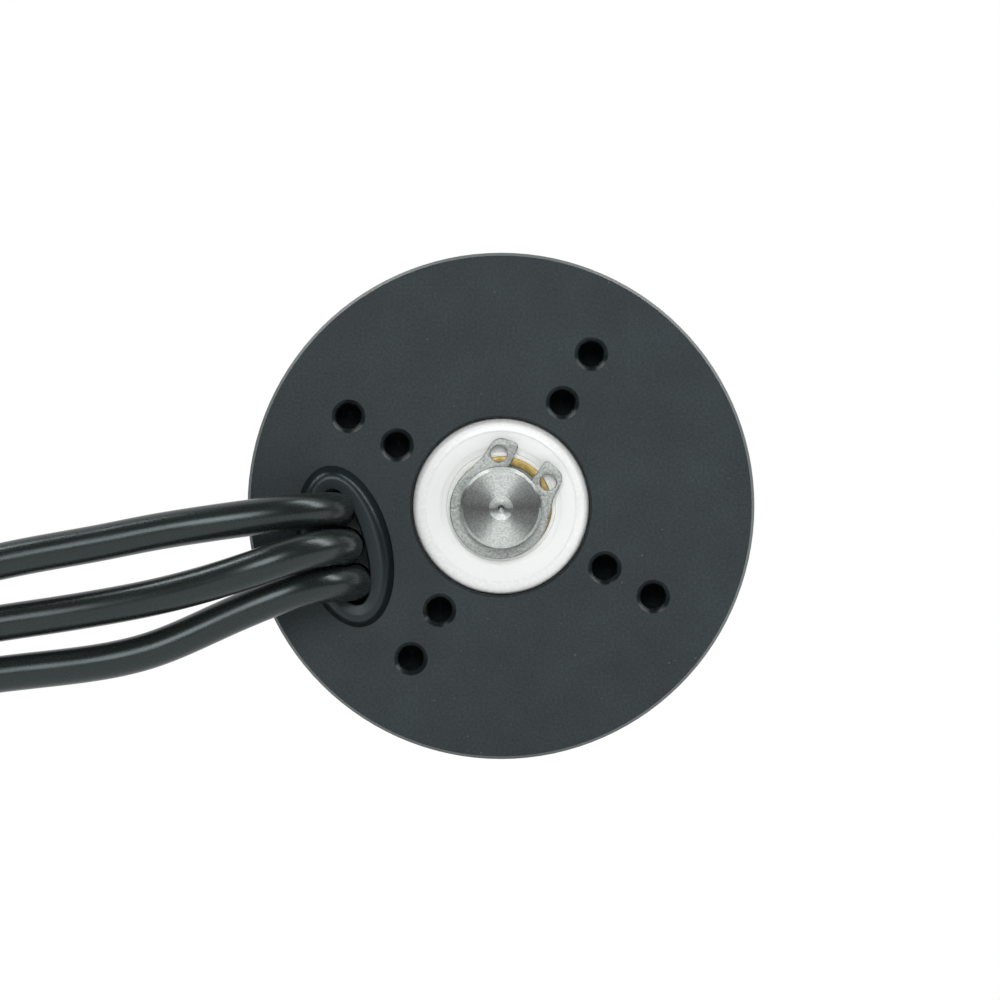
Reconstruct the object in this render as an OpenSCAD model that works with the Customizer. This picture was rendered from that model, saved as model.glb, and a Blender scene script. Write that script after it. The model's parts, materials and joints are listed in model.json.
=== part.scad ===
// Waterproof brushless outrunner motor, seen from its mounting end.
// The shaft axis is Y. The mounting face is the plane Y = 0 and the motor runs towards +Y.
// Every piece is drawn face-on: x to the right, y up and "depth" away from the viewer,
// then turned once by face_on() so that depth becomes +Y and y becomes +Z.

/* [Base plate] */
// Thickness of the mounting plate
plate_t = 8; // [6:0.5:10]
// Width of the chamfer on the plate's edges
plate_edge = 0.35; // [0.1:0.05:0.8]
// Pitch circle of the inner bolt holes
bolt_inner_pcd = 30; // [29.5:0.5:32]
// Pitch circle of the outer bolt holes
bolt_outer_pcd = 44; // [42:0.5:47]
// Holes on each pitch circle
bolt_count = 4; // [4]
// Diameter of the M4 tapping holes
bolt_hole_d = 3.4; // [3:0.1:4]
// Width of the chamfer round each bolt hole
bolt_hole_edge = 0.4; // [0.1:0.05:0.6]
// Angle of the first row of bolt holes, anticlockwise from the right
bolt_turn = 59.4; // [57:0.1:62]

/* [Body] */
// Length from the mounting face to the front of the end cap
body_len = 74; // [70:1:90]
// How much smaller the rotor can is than the plate, on the radius
can_inset = 0.5; // [0.2:0.1:1]
// Wall of the steel rotor can
can_wall = 2.4; // [2:0.1:2.8]
// Running gap between the plate and the rotor can
can_gap = 1; // [0.6:0.1:1.5]
// Thickness of the front end cap
cap_t = 8; // [7:0.5:10]
// Depth over which the rotor can overlaps the end cap's rim
cap_lap = 2; // [1.5:0.1:2.5]
// Width of the bevel on the end cap's front edge
cap_edge = 2; // [0.5:0.1:3]
// Number of flow windows in the end cap
window_count = 8; // [6:1:8]
// Width of each flow window
window_w = 8; // [5:0.5:8.5]

/* [Shaft] */
// Shaft diameter in the bearings and the end cap
shaft_d = 10; // [9:0.5:11]
// Diameter of the shaft's output end
output_d = 8; // [6:0.5:8.5]
// Length that stands out beyond the end cap
shaft_out = 30; // [25:1:40]
// Length of the shaft end behind the circlip groove
end_land = 2.4; // [1.5:0.1:4]
// Chamfer on both shaft ends
shaft_edge = 0.3; // [0.1:0.05:0.6]
// Depth of the drive flat
flat_depth = 0.5; // [0.3:0.1:0.8]
// Length of the drive flat
flat_len = 18; // [12:1:18]

/* [Bearings] */
// Width of both ball bearings
bearing_w = 6; // [5.5:0.1:6.5]
// Radial thickness of the inner rings
inner_ring_t = 1.75; // [1.5:0.05:2]
// Radial thickness of the outer rings
outer_ring_t = 1.7; // [1.5:0.05:2]
// Radial space between the two rings
race_gap = 2.55; // [2.4:0.05:2.7]
// Ball diameter
ball_d = 3.2; // [3.1:0.05:3.25]
// Balls in each bearing
ball_count = 9; // [7:1:10]
// How far the rear bearing stands proud of the plate
bearing_proud = 0.2; // [0.1:0.05:0.5]

/* [Circlip] */
// Thickness of the circlip
clip_t = 1; // [0.8:0.1:1.2]
// Width of the beam opposite its gap
clip_beam = 1.5; // [1.2:0.05:1.8]
// Distance of the lug holes from the shaft axis
clip_lug_r = 6.6; // [6.5:0.05:6.9]
// Diameter of the lug holes
clip_hole_d = 2; // [1.5:0.1:2.1]
// Angle of the first lug hole
clip_lug_a = 92; // [90:0.5:94]
// Angle of the second lug hole
clip_lug_b = 28; // [26:0.5:30]
// Thickness of the brass thrust washer under the circlip
washer_t = 0.5; // [0.3:0.1:0.8]
// Outer diameter of the brass thrust washer
washer_d = 12.5; // [12:0.1:13]

/* [Stator] */
// Radial gap between stator and magnets
air_gap = 0.75; // [0.6:0.05:1]
// Number of stator slots
slot_count = 12; // [12]
// Width of the stator teeth
tooth_w = 5; // [4:0.1:5.4]
// Wall of the stator tube round the bearing seats
tube_wall = 2; // [1.5:0.1:2.2]
// Radial thickness of the stator yoke
yoke_t = 4; // [3:0.1:4.4]
// Radial height of the coils
coil_h = 6.2; // [5:0.1:7.5]
// Radial thickness of the tooth tips
tip_t = 1.2; // [1:0.1:1.6]
// Width of each slot's mouth
slot_mouth = 1.8; // [1.2:0.1:2.4]
// Thickness of the end insulators
insulator_t = 1; // [0.6:0.1:1.2]
// Height of the winding heads over the insulators
end_turn = 4.5; // [4:0.1:5]

/* [Magnets] */
// Radial thickness of the magnets
magnet_t = 2.8; // [2.4:0.1:3]
// Number of magnet poles
pole_count = 14; // [14]
// Angular gap between neighbouring magnets
pole_gap = 2.4; // [1:0.2:4]

/* [Cable outlet] */
// Length of the grommet's lip
grommet_len = 20.5; // [20:0.25:21]
// Width of the grommet's lip
grommet_w = 11.4; // [11:0.1:11.6]
// Height of the grommet's lip over the plate
grommet_h = 2; // [1.6:0.1:2.4]
// Distance of the grommet's centre from the shaft axis
grommet_r = 20; // [19.8:0.1:20.2]
// Angle of the grommet, anticlockwise from the right
grommet_turn = 194.4; // [193:0.1:196]
// Diameter of the silicone leads
lead_d = 4.5; // [4.2:0.1:4.5]
// Spacing of the leads in the grommet
lead_pitch = 4.65; // [4.6:0.05:4.8]
// Length of each heat-shrink sleeve
sleeve_len = 14; // [12:0.5:18]
// Wall of each heat-shrink sleeve
sleeve_wall = 0.7; // [0.5:0.1:0.8]
// Diameter of each bullet plug
bullet_d = 4; // [3.5:0.1:4.4]
// Length of each bullet plug beyond its collar
bullet_len = 12; // [8:0.5:14]

/* [Screws] */
// Number of radial screws that hold the can to the end cap
cap_screw_count = 6; // [4:1:6]
// Shank diameter of the cap screws
cap_screw_d = 2.5; // [2:0.1:2.5]
// Head diameter of the cap screws
cap_screw_head_d = 4.4; // [4:0.1:4.6]
// Diameter of the two grub screws in the end cap's boss
grub_d = 4; // [3:0.5:4]

/* [Hidden] */
$fn = 96;

// Clearance of glued and pressed pieces, running clearance of the balls, and overrun of cuts
fit_gap = 0.03;
run_gap = 0.06;
overrun = 1;

// Corner inside the bearing rings, and the broad one on the outer ring's outside
race_edge = 0.35;
bearing_edge = 0.9;

// Radii from the shaft out to the tips of the stator's teeth
shaft_r = shaft_d / 2;
output_r = output_d / 2;
inner_land_r = shaft_r + inner_ring_t;
outer_land_r = inner_land_r + race_gap;
bearing_r = outer_land_r + outer_ring_t;
ball_r = ball_d / 2;
ball_pitch_r = (inner_land_r + outer_land_r) / 2;
tube_bore_r = outer_land_r + race_edge;
tube_r = bearing_r + tube_wall;
yoke_r = tube_r + yoke_t;
coil_clear = 0.3;
coil_in_r = yoke_r + coil_clear;
coil_out_r = coil_in_r + coil_h;
tip_r = coil_out_r + coil_clear;
core_r = tip_r + tip_t;

// Radii from the magnets out to the plate
magnet_glue = 0.05;
magnet_in_r = core_r + air_gap;
can_bore_r = magnet_in_r + magnet_t + magnet_glue;
can_r = can_bore_r + can_wall;
plate_r = can_r + can_inset;

// Bearing details: recess and thickness of the seals, and the cage's section
seal_inset = 0.25;
seal_t = 0.45;
seal_gap = 0.1;
cage_wall_share = 0.55;
cage_len_share = 0.7;

// Depths along the motor, from the mounting face towards the end cap
cap_inner = body_len - cap_t;
can_start = plate_t + can_gap;
can_end = cap_inner + cap_lap;
rear_room = 4.5;
front_room = 2.5;
coil_start = plate_t + rear_room;
coil_end = cap_inner - front_room;
core_start = coil_start + end_turn + insulator_t;
core_end = coil_end - end_turn - insulator_t;
rear_bearing_start = -bearing_proud;
rear_seat_depth = bearing_w - bearing_proud;
shim_t = 0.5;
hub_h = 1.5;
tube_end = cap_inner - hub_h - shim_t;
front_bearing_start = tube_end - bearing_w;
washer_start = rear_bearing_start - washer_t;
clip_start = washer_start - clip_t;
groove_play = 0.1;
groove_start = clip_start - groove_play;
shaft_start = groove_start - end_land;
shaft_end = body_len + shaft_out;
seat_edge = 0.3;

// Shaft details: circlip groove, and centre drilling with a flat bevel, a cone and a pilot hole
groove_depth = 0.2;
groove_r = shaft_r - groove_depth;
journal_out = 1;
centre_bevel_r = 1.5;
centre_r = 0.8;
pilot_r = 0.4;
centre_bevel_depth = (centre_bevel_r - centre_r) * tan(30);
centre_depth = centre_bevel_depth + (centre_r - pilot_r) / tan(30);
pilot_depth = 1.5;

// Bolt hole details: drilled blind, with the drill's cone at the end
bolt_floor = 0.5;
bolt_cone_h = bolt_hole_d / 2 * tan(31);
bolt_hole_depth = plate_t - bolt_floor - bolt_cone_h;

// Circlip details
clip_lug_wall = 0.8;
clip_edge_r = clip_hole_d / 2 + clip_lug_wall;
clip_offset_share = 0.2;
clip_flank_share = 0.93;
clip_flank_turn = 52;
clip_gap_trim = 15;
washer_r = washer_d / 2;

// Coils: each follows its tooth on the inside and its share of the slot on the outside
coil_half_w = coil_in_r * tan(180 / slot_count) - coil_clear;
coil_hole_half_w = tooth_w / 2 + coil_clear;
coil_corner = 1.2;

// Magnets stop short of the can's open end and of the end cap's spigot
magnet_inset = 3;
spigot_h = 3.5;
spigot_t = 3.8;
spigot_start = cap_inner - spigot_h;
magnet_start = can_start + magnet_inset;
magnet_end = spigot_start - can_gap;

// End cap details
boss_wall = 6;
boss_r = shaft_r + boss_wall;
boss_h = 6;
boss_edge = 0.6;
hub_r = inner_land_r - fit_gap;
window_rim = 1.5;
window_in_r = boss_r + window_rim + window_w / 2;
window_out_r = can_bore_r - spigot_t + window_rim - window_w / 2;

// Cable outlet details
lead_r = lead_d / 2;
lead_gap = 0.1;
opening_gap = 0.5;
opening_corner_share = 0.7;
grommet_half = [grommet_w / 2, grommet_len / 2];
opening_half = [lead_r + opening_gap, lead_pitch + lead_r + opening_gap];
grommet_back_lap = 0.6;
grommet_back_t = 1;
lip_shares = [[0, 0.6], [0.2, 0.83], [0.31, 0.95], [0.4, 1], [0.49, 0.96], [0.6, 0.83], [0.8, 0.45], [1, 0]];
potting_start = 3;
oval_sides = 48;
splice_r = 2;

// Sleeve and bullet plug details
sleeve_lap = 6;
collar_h = 0.5;
collar_r = bullet_d / 2 + collar_h;
collar_t = 1;
nose_r = 0.8;
plug_tail_r = lead_r - fit_gap;
sleeve_bore_r = lead_r + lead_gap;
sleeve_r = sleeve_bore_r + sleeve_wall;

// Screw details
cap_screw_depth = cap_inner - spigot_h / 2;
cap_screw_grip = 3;
cap_screw_len = can_wall + cap_screw_grip;
cap_head_t = (cap_screw_head_d - cap_screw_d) / 2;
socket_share = 0.5;
socket_depth_share = 0.6;
grub_depth = body_len + boss_h / 2;
grub_turns = [0, 90];

// Routes of the three leads, chosen by hand: inside the plate, out through the grommet,
// round to the left, down to the surface that the motor lies on and back beside it.
lead_routes = [
    [[-20.5, 9.5, -0.5], [-20.5, 0, -0.5], [-20.5, -2, -0.4], [-21.9, -6.6, -0.2], [-25.5, -9.9, -0.3],
     [-30.2, -11.4, -0.8], [-36.8, -12, -1.7], [-42.9, -12, -2.7], [-49, -12, -3.9], [-55.1, -12, -5],
     [-61.2, -12, -6.2], [-70, -12, -8.6], [-79, -12, -12], [-87.5, -11.5, -16.4], [-95, -9.5, -21.2],
     [-101, -5.5, -25.4], [-105, 1, -28.2], [-107, 9, -29.2], [-107.6, 19, -29.25], [-107, 30, -29.25],
     [-106, 42, -29.25], [-105.2, 53, -29], [-105, 63, -28.4], [-105, 71, -28.4]],
    [[-19.4, 9.5, -5], [-19.4, 0, -5], [-19.4, -5, -4.8], [-20.9, -9.6, -4.6], [-24.4, -12.9, -5.1],
     [-29.2, -14.3, -6.6], [-34.3, -14, -8.3], [-42.8, -12.8, -10.6], [-48.9, -12.2, -11.8], [-55, -12, -12.8],
     [-61, -12, -13.7], [-70, -12, -15.5], [-79, -11.6, -18.6], [-86.5, -10, -22.2], [-92.5, -6.5, -25.8],
     [-96.5, -0.5, -28.4], [-98.5, 7.5, -29.2], [-99.4, 17, -29.25], [-99.4, 28, -29.25], [-98.4, 40, -29.25],
     [-97, 52, -29.25], [-96.2, 62, -29], [-96, 71, -28.4], [-96, 79, -28.4]],
    [[-18.3, 9.5, -9.5], [-18.3, 0, -9.5], [-18.3, -1.5, -9.4], [-19.8, -6.1, -9.2], [-23.3, -9.4, -9.4],
     [-28.2, -10.8, -10.9], [-34.6, -11.2, -13.6], [-43, -11.8, -17.1], [-49.1, -12, -18.5], [-55.2, -12, -19.3],
     [-61.3, -12, -20], [-70, -11.6, -21.5], [-78, -9.8, -23.8], [-84.5, -6, -26.4], [-88.6, 0.5, -28.5],
     [-90.6, 9, -29.2], [-91.4, 19, -29.25], [-91.2, 30, -29.25], [-90, 42, -29.25], [-88.4, 54, -29.25],
     [-87.4, 65, -29.1], [-87, 75, -28.4], [-87, 84, -28.4]]];

// Colours as photographed
plate_color = [0.2, 0.23, 0.24];
ceramic_color = [0.94, 0.96, 0.95];
steel_color = [0.62, 0.64, 0.63];
brass_color = [0.76, 0.64, 0.32];
rubber_color = [0.06, 0.07, 0.07];
copper_color = [0.6, 0.33, 0.16];
insulator_color = [0.75, 0.74, 0.66];
magnet_color = [0.5, 0.5, 0.52];
gold_color = [0.8, 0.63, 0.28];

// Turns a piece that is drawn face-on into the motor's frame
module face_on() {
    rotate([90, 0, 0]) children();
}

// Extrudes an outline between two depths
module span(from, to) {
    translate([0, 0, -to]) linear_extrude(to - from) children();
}

// Turns a profile of [radius, depth] points round the shaft axis
module turned(points) {
    rotate_extrude() polygon([for (p = points) [p.x, -p.y]]);
}

// A ring between two radii and two depths
module ring(outer, inner, from, to) {
    span(from, to) difference() {
        circle(outer);
        circle(inner);
    }
}

// Places copies evenly round the shaft axis
module round_axis(count, turn = 0) {
    for (i = [0 : count - 1]) rotate(turn + i * 360 / count) children();
}

// Points of an oval with the given half sizes: an ellipse, or squarer where the corner share is under 1
function oval(half, corner_share = 1) = [for (i = [0 : oval_sides - 1]) let (turn = i * 360 / oval_sides)
    [half.x * sign(cos(turn)) * pow(abs(cos(turn)), corner_share),
     half.y * sign(sin(turn)) * pow(abs(sin(turn)), corner_share)]];

// Puts an outline or a piece at the cable outlet, with its long side across the radius
module at_outlet() {
    rotate(grommet_turn) translate([grommet_r, 0]) children();
}

// The blind bolt holes of one pitch circle, each with a chamfered mouth
module bolt_holes(pcd) {
    mouth_r = bolt_hole_d / 2 + bolt_hole_edge;
    round_axis(bolt_count, bolt_turn) translate([pcd / 2, 0]) {
        turned([[0, -overrun], [mouth_r + overrun, -overrun], [bolt_hole_d / 2, bolt_hole_edge],
                [bolt_hole_d / 2, bolt_hole_depth], [0, bolt_hole_depth + bolt_cone_h]]);
    }
}

// Mounting plate and stator tube, turned from one piece of aluminium
module base_plate() {
    color(plate_color) face_on() difference() {
        turned([[0, 0], [plate_r - plate_edge, 0], [plate_r, plate_edge], [plate_r, plate_t - plate_edge],
                [plate_r - plate_edge, plate_t], [tube_r - fit_gap, plate_t], [tube_r - fit_gap, tube_end],
                [0, tube_end]]);
        turned([[0, -overrun], [bearing_r + fit_gap + seat_edge + overrun, -overrun],
                [bearing_r + fit_gap, seat_edge], [bearing_r + fit_gap, rear_seat_depth],
                [tube_bore_r, rear_seat_depth], [tube_bore_r, front_bearing_start],
                [bearing_r + fit_gap, front_bearing_start], [bearing_r + fit_gap, tube_end + overrun],
                [0, tube_end + overrun]]);
        bolt_holes(bolt_inner_pcd);
        bolt_holes(bolt_outer_pcd);
        at_outlet() span(-overrun, plate_t + overrun) polygon(oval(grommet_half + [fit_gap, fit_gap]));
    }
}

// Groove that the balls run in, at a bearing's middle
module race_groove(start) {
    translate([0, 0, -start - bearing_w / 2]) rotate_extrude()
        translate([ball_pitch_r, 0]) circle(ball_r + run_gap);
}

module outer_ring(start) {
    difference() {
        turned([[outer_land_r, start], [bearing_r - bearing_edge, start], [bearing_r, start + bearing_edge],
                [bearing_r, start + bearing_w - bearing_edge], [bearing_r - bearing_edge, start + bearing_w],
                [outer_land_r, start + bearing_w]]);
        race_groove(start);
    }
}

module inner_ring(start) {
    difference() {
        ring(inner_land_r, shaft_r + fit_gap, start, start + bearing_w);
        race_groove(start);
    }
}

module seals(start) {
    for (from = [start + seal_inset, start + bearing_w - seal_inset - seal_t])
        ring(outer_land_r - fit_gap, inner_land_r + seal_gap, from, from + seal_t);
}

module balls(start) {
    round_axis(ball_count) translate([ball_pitch_r, 0, -start - bearing_w / 2]) sphere(ball_r);
}

module cage(start) {
    middle = start + bearing_w / 2;
    half_len = bearing_w * cage_len_share / 2;
    half_wall = race_gap * cage_wall_share / 2;
    difference() {
        ring(ball_pitch_r + half_wall, ball_pitch_r - half_wall, middle - half_len, middle + half_len);
        round_axis(ball_count) translate([ball_pitch_r - ball_r, 0, -middle]) rotate([0, 90, 0])
            cylinder(r = ball_r + run_gap, h = ball_d);
    }
}

module rear_outer_ring() { color(ceramic_color) face_on() outer_ring(rear_bearing_start); }
module rear_inner_ring() { color(ceramic_color) face_on() inner_ring(rear_bearing_start); }
module rear_seals() { color(ceramic_color) face_on() seals(rear_bearing_start); }
module rear_balls() { color(ceramic_color) face_on() balls(rear_bearing_start); }
module rear_cage() { color(ceramic_color) face_on() cage(rear_bearing_start); }
module front_outer_ring() { color(ceramic_color) face_on() outer_ring(front_bearing_start); }
module front_inner_ring() { color(ceramic_color) face_on() inner_ring(front_bearing_start); }
module front_seals() { color(ceramic_color) face_on() seals(front_bearing_start); }
module front_balls() { color(ceramic_color) face_on() balls(front_bearing_start); }
module front_cage() { color(ceramic_color) face_on() cage(front_bearing_start); }

// Outline of the space between two teeth, with its mouth in the rim
module slot_outline() {
    half_step = 180 / slot_count;
    function half_w(r) = r * tan(half_step) - tooth_w / 2 / cos(half_step);
    polygon([[yoke_r, -half_w(yoke_r)], [tip_r, -half_w(tip_r)], [tip_r, half_w(tip_r)],
             [yoke_r, half_w(yoke_r)]]);
    translate([yoke_r, -slot_mouth / 2]) square([core_r - yoke_r + overrun, slot_mouth]);
}

// Outline of one lamination with its teeth, up to the given radius
module lamination(outer) {
    difference() {
        circle(outer);
        circle(tube_r);
        round_axis(slot_count, grommet_turn + 180 / slot_count) slot_outline();
    }
}

module stator_core() {
    color(steel_color) face_on() span(core_start, core_end) lamination(core_r);
}

module rear_insulator() {
    color(insulator_color) face_on() span(core_start - insulator_t, core_start) lamination(tip_r);
}

module front_insulator() {
    color(insulator_color) face_on() span(core_end, core_end + insulator_t) lamination(tip_r);
}

// Rectangle with round corners, centred
module soft_rectangle(size, corner) {
    inner = [size.x - 2 * corner, size.y - 2 * corner];
    square([size.x, inner.y], center = true);
    square([inner.x, size.y], center = true);
    for (x = [-1, 1], y = [-1, 1]) translate([x * inner.x / 2, y * inner.y / 2]) circle(corner);
}

// One coil round one tooth
module coil() {
    middle = (coil_start + coil_end) / 2;
    hole_len = core_end - core_start + 2 * insulator_t;
    translate([coil_in_r, 0, -middle]) rotate([0, 90, 0]) linear_extrude(coil_out_r - coil_in_r)
        difference() {
            soft_rectangle([coil_end - coil_start, 2 * coil_half_w], coil_corner);
            square([hole_len, 2 * coil_hole_half_w], center = true);
        }
}

// The four coils of one phase: two neighbouring teeth on each side of the motor
module phase_coils(first) {
    step = 360 / slot_count;
    for (tooth = [first, first + 1, first + slot_count / 2, first + slot_count / 2 + 1])
        rotate(grommet_turn + tooth * step) coil();
}

module phase_a_coils() { color(copper_color) face_on() phase_coils(0); }
module phase_b_coils() { color(copper_color) face_on() phase_coils(2); }
module phase_c_coils() { color(copper_color) face_on() phase_coils(4); }

// Insulated solder joints between the leads and the windings
module winding_splices() {
    color(rubber_color) for (route = lead_routes)
        translate([route[0].x, coil_start, route[0].z]) rotate([90, 0, 0])
            cylinder(r = splice_r, h = coil_start - route[0].y);
}

// Rubber grommet: a lip with a gentle inside and a steep flank, a body that fills the slot and a back
// flange, as one loop of outlines from the opening over the lip and round the back to the opening again
module cable_grommet() {
    opening = oval(opening_half, opening_corner_share);
    outside = oval(grommet_half);
    flange = oval(grommet_half + [grommet_back_lap, grommet_back_lap]);
    back = plate_t + grommet_back_t;
    function lip(out, rise) = [for (k = [0 : oval_sides - 1])
        [each (1 - out) * opening[k] + out * outside[k], grommet_h * rise]];
    function at_depth(outline, depth) = [for (p = outline) [p.x, p.y, -depth]];
    loops = [for (share = lip_shares) lip(share.x, share.y), at_depth(outside, plate_t),
             at_depth(flange, plate_t), at_depth(flange, back), at_depth(opening, back)];
    color(rubber_color) face_on() at_outlet() closed_loft(loops);
}

// Compound that seals the grommet's opening round the leads
module outlet_potting() {
    color(rubber_color) face_on() span(potting_start, plate_t) difference() {
        at_outlet() polygon(oval(opening_half - [fit_gap, fit_gap], opening_corner_share));
        for (route = lead_routes) translate([route[0].x, route[0].z]) circle(lead_r + lead_gap);
    }
}

// A ring-shaped solid through outlines with the same number of points, the last joined to the first
module closed_loft(loops) {
    count = len(loops);
    sides = len(loops[0]);
    faces = [for (i = [0 : count - 1], k = [0 : sides - 1])
        let (next = (i + 1) % count * sides, side = (k + 1) % sides)
        each [[i * sides + k, next + k, i * sides + side], [i * sides + side, next + k, next + side]]];
    polyhedron([for (loop = loops) each loop], faces);
}

// Direction of a route at one of its points
function unit(v) = v / norm(v);
function heading(route, i) = unit(route[min(i + 1, len(route) - 1)] - route[max(i - 1, 0)]);

// Points of one ring of a tube, square to the route
function tube_ring(route, i, radius, sides) =
    let (ahead = heading(route, i), across = unit(cross(ahead, [0, 0, 1])), up = cross(across, ahead))
    [for (k = [0 : sides - 1]) route[i] + radius * (cos(k * 360 / sides) * across + sin(k * 360 / sides) * up)];

// A tube swept along a route, closed at both ends
module swept_tube(route, radius, sides = 10) {
    last = len(route) - 1;
    points = [for (i = [0 : last]) each tube_ring(route, i, radius, sides)];
    near_end = [for (k = [1 : sides - 2]) [0, k, k + 1]];
    far_end = [for (k = [1 : sides - 2]) [last * sides, last * sides + k + 1, last * sides + k]];
    walls = [for (i = [0 : last - 1], k = [0 : sides - 1])
        let (a = i * sides + k, b = i * sides + (k + 1) % sides)
        each [[a, a + sides, b], [b, a + sides, b + sides]]];
    polyhedron(points, concat(near_end, walls, far_end));
}

module lead_a() { color(rubber_color) swept_tube(lead_routes[0], lead_r); }
module lead_b() { color(rubber_color) swept_tube(lead_routes[1], lead_r); }
module lead_c() { color(rubber_color) swept_tube(lead_routes[2], lead_r); }

// Puts a piece at the far end of a lead, pointing along +Y
module at_lead_end(route) {
    translate(route[len(route) - 1]) rotate([-90, 0, 0]) children();
}

// Heat-shrink sleeve over the joint of a lead and its plug
module sleeve(route) {
    at_lead_end(route) translate([0, 0, -sleeve_lap]) difference() {
        cylinder(r = sleeve_r, h = sleeve_len);
        translate([0, 0, -overrun]) cylinder(r = sleeve_bore_r, h = sleeve_len + 2 * overrun);
    }
}

// Bullet plug: tail in the sleeve, collar and round-nosed pin
module bullet(route) {
    tail = sleeve_len - sleeve_lap;
    pin_r = bullet_d / 2;
    tip = tail + collar_t + bullet_len;
    at_lead_end(route) rotate_extrude() polygon([[0, 0], [plug_tail_r, 0], [plug_tail_r, tail],
        [collar_r, tail], [collar_r, tail + collar_t], [pin_r, tail + collar_t], [pin_r, tip - nose_r],
        [pin_r - nose_r, tip], [0, tip]]);
}

module sleeve_a() { color(rubber_color) sleeve(lead_routes[0]); }
module sleeve_b() { color(rubber_color) sleeve(lead_routes[1]); }
module sleeve_c() { color(rubber_color) sleeve(lead_routes[2]); }
module bullet_a() { color(gold_color) bullet(lead_routes[0]); }
module bullet_b() { color(gold_color) bullet(lead_routes[1]); }
module bullet_c() { color(gold_color) bullet(lead_routes[2]); }

// Shaft with circlip groove, centre-drilled rear end, and a drive flat on its slimmer output end
module shaft() {
    journal_end = body_len + boss_h + journal_out;
    color(steel_color) face_on() difference() {
        turned([[0, shaft_start + centre_depth + pilot_depth], [pilot_r, shaft_start + centre_depth + pilot_depth],
                [pilot_r, shaft_start + centre_depth], [centre_r, shaft_start + centre_bevel_depth],
                [centre_bevel_r, shaft_start],
                [shaft_r - shaft_edge, shaft_start], [shaft_r, shaft_start + shaft_edge],
                [shaft_r, groove_start], [groove_r, groove_start], [groove_r, washer_start],
                [shaft_r, washer_start], [shaft_r, journal_end - shaft_edge],
                [shaft_r - shaft_edge, journal_end], [output_r, journal_end],
                [output_r, shaft_end - shaft_edge], [output_r - shaft_edge, shaft_end], [0, shaft_end]]);
        translate([output_r - flat_depth, -output_r, -shaft_end - overrun])
            cube([flat_depth + overrun, output_d, flat_len + overrun]);
    }
}

// One lug of the circlip: a round eye joined to the beam by two straight flanks
module clip_lug() {
    flank = clip_edge_r * clip_flank_share;
    root_r = groove_r + clip_beam / 2;
    function on_beam(turn) = root_r * [cos(turn), sin(turn)];
    translate([clip_lug_r, 0]) circle(clip_edge_r);
    polygon([on_beam(-clip_gap_trim / 2), [clip_lug_r, -flank], [clip_lug_r, flank],
             on_beam(clip_flank_turn), on_beam(clip_flank_turn / 2)]);
}

module circlip() {
    gap_turn = (clip_lug_a + clip_lug_b) / 2;
    lug_turn = (clip_lug_a - clip_lug_b) / 2;
    half_gap = lug_turn - clip_gap_trim;
    shift = clip_beam * clip_offset_share;
    beam_r = groove_r + clip_beam - shift;
    color(steel_color) face_on() rotate(gap_turn) span(clip_start, washer_start) difference() {
        union() {
            difference() {
                translate([-shift, 0]) circle(beam_r);
                polygon(2 * beam_r * [[0, 0], [1, -tan(half_gap)], [1, tan(half_gap)]]);
            }
            for (side = [0, 1]) mirror([0, side]) rotate(lug_turn) clip_lug();
        }
        circle(groove_r + fit_gap);
        for (side = [-1, 1]) rotate(side * lug_turn) translate([clip_lug_r, 0]) circle(clip_hole_d / 2);
    }
}

module thrust_washer() {
    color(brass_color) face_on() ring(washer_r, shaft_r + fit_gap, washer_start, rear_bearing_start);
}

module front_shim() {
    color(brass_color) face_on() ring(hub_r, shaft_r + fit_gap, tube_end, tube_end + shim_t);
}

// Screw holes through the can and into the end cap's spigot, drawn along +x
module cap_screw_cut(clear) {
    translate([can_r, 0, -cap_screw_depth]) rotate([0, -90, 0]) {
        translate([0, 0, -overrun]) cylinder(r = cap_screw_head_d / 2 + clear, h = overrun);
        cylinder(r1 = cap_screw_head_d / 2 + clear, r2 = cap_screw_d / 2 + clear, h = cap_head_t);
        cylinder(r = cap_screw_d / 2 + clear, h = cap_screw_len);
    }
}

module rotor_can() {
    color(plate_color) face_on() difference() {
        ring(can_r, can_bore_r, can_start, can_end);
        round_axis(cap_screw_count) cap_screw_cut(fit_gap);
    }
}

module magnets(first) {
    step = 360 / pole_count;
    for (pole = [first : 2 : pole_count - 1])
        rotate(pole * step) translate([0, 0, -magnet_end]) rotate_extrude(angle = step - pole_gap)
            translate([magnet_in_r, 0]) square([magnet_t, magnet_end - magnet_start]);
}

module magnets_north() { color(magnet_color) face_on() magnets(0); }
module magnets_south() { color(magnet_color) face_on() magnets(1); }

// Front end cap: rim, flow windows, spigot inside the can, inner hub and outer boss
module front_cap() {
    color(plate_color) face_on() difference() {
        turned([[shaft_r + fit_gap, cap_inner - hub_h], [hub_r, cap_inner - hub_h], [hub_r, cap_inner],
                [can_bore_r - spigot_t, cap_inner], [can_bore_r - spigot_t, spigot_start],
                [can_bore_r - fit_gap, spigot_start], [can_bore_r - fit_gap, can_end], [can_r, can_end],
                [can_r, body_len - cap_edge], [can_r - cap_edge, body_len], [boss_r, body_len],
                [boss_r, body_len + boss_h - boss_edge], [boss_r - boss_edge, body_len + boss_h],
                [shaft_r + fit_gap, body_len + boss_h]]);
        round_axis(window_count) span(cap_inner - overrun, body_len + overrun) {
            translate([window_in_r, 0]) circle(window_w / 2);
            translate([window_out_r, 0]) circle(window_w / 2);
            translate([window_in_r, -window_w / 2]) square([window_out_r - window_in_r, window_w]);
        }
        for (turn = grub_turns) rotate(turn) translate([0, 0, -grub_depth]) rotate([0, 90, 0])
            cylinder(r = grub_d / 2 + fit_gap, h = boss_r + overrun);
        round_axis(cap_screw_count) cap_screw_cut(fit_gap);
    }
}

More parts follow.
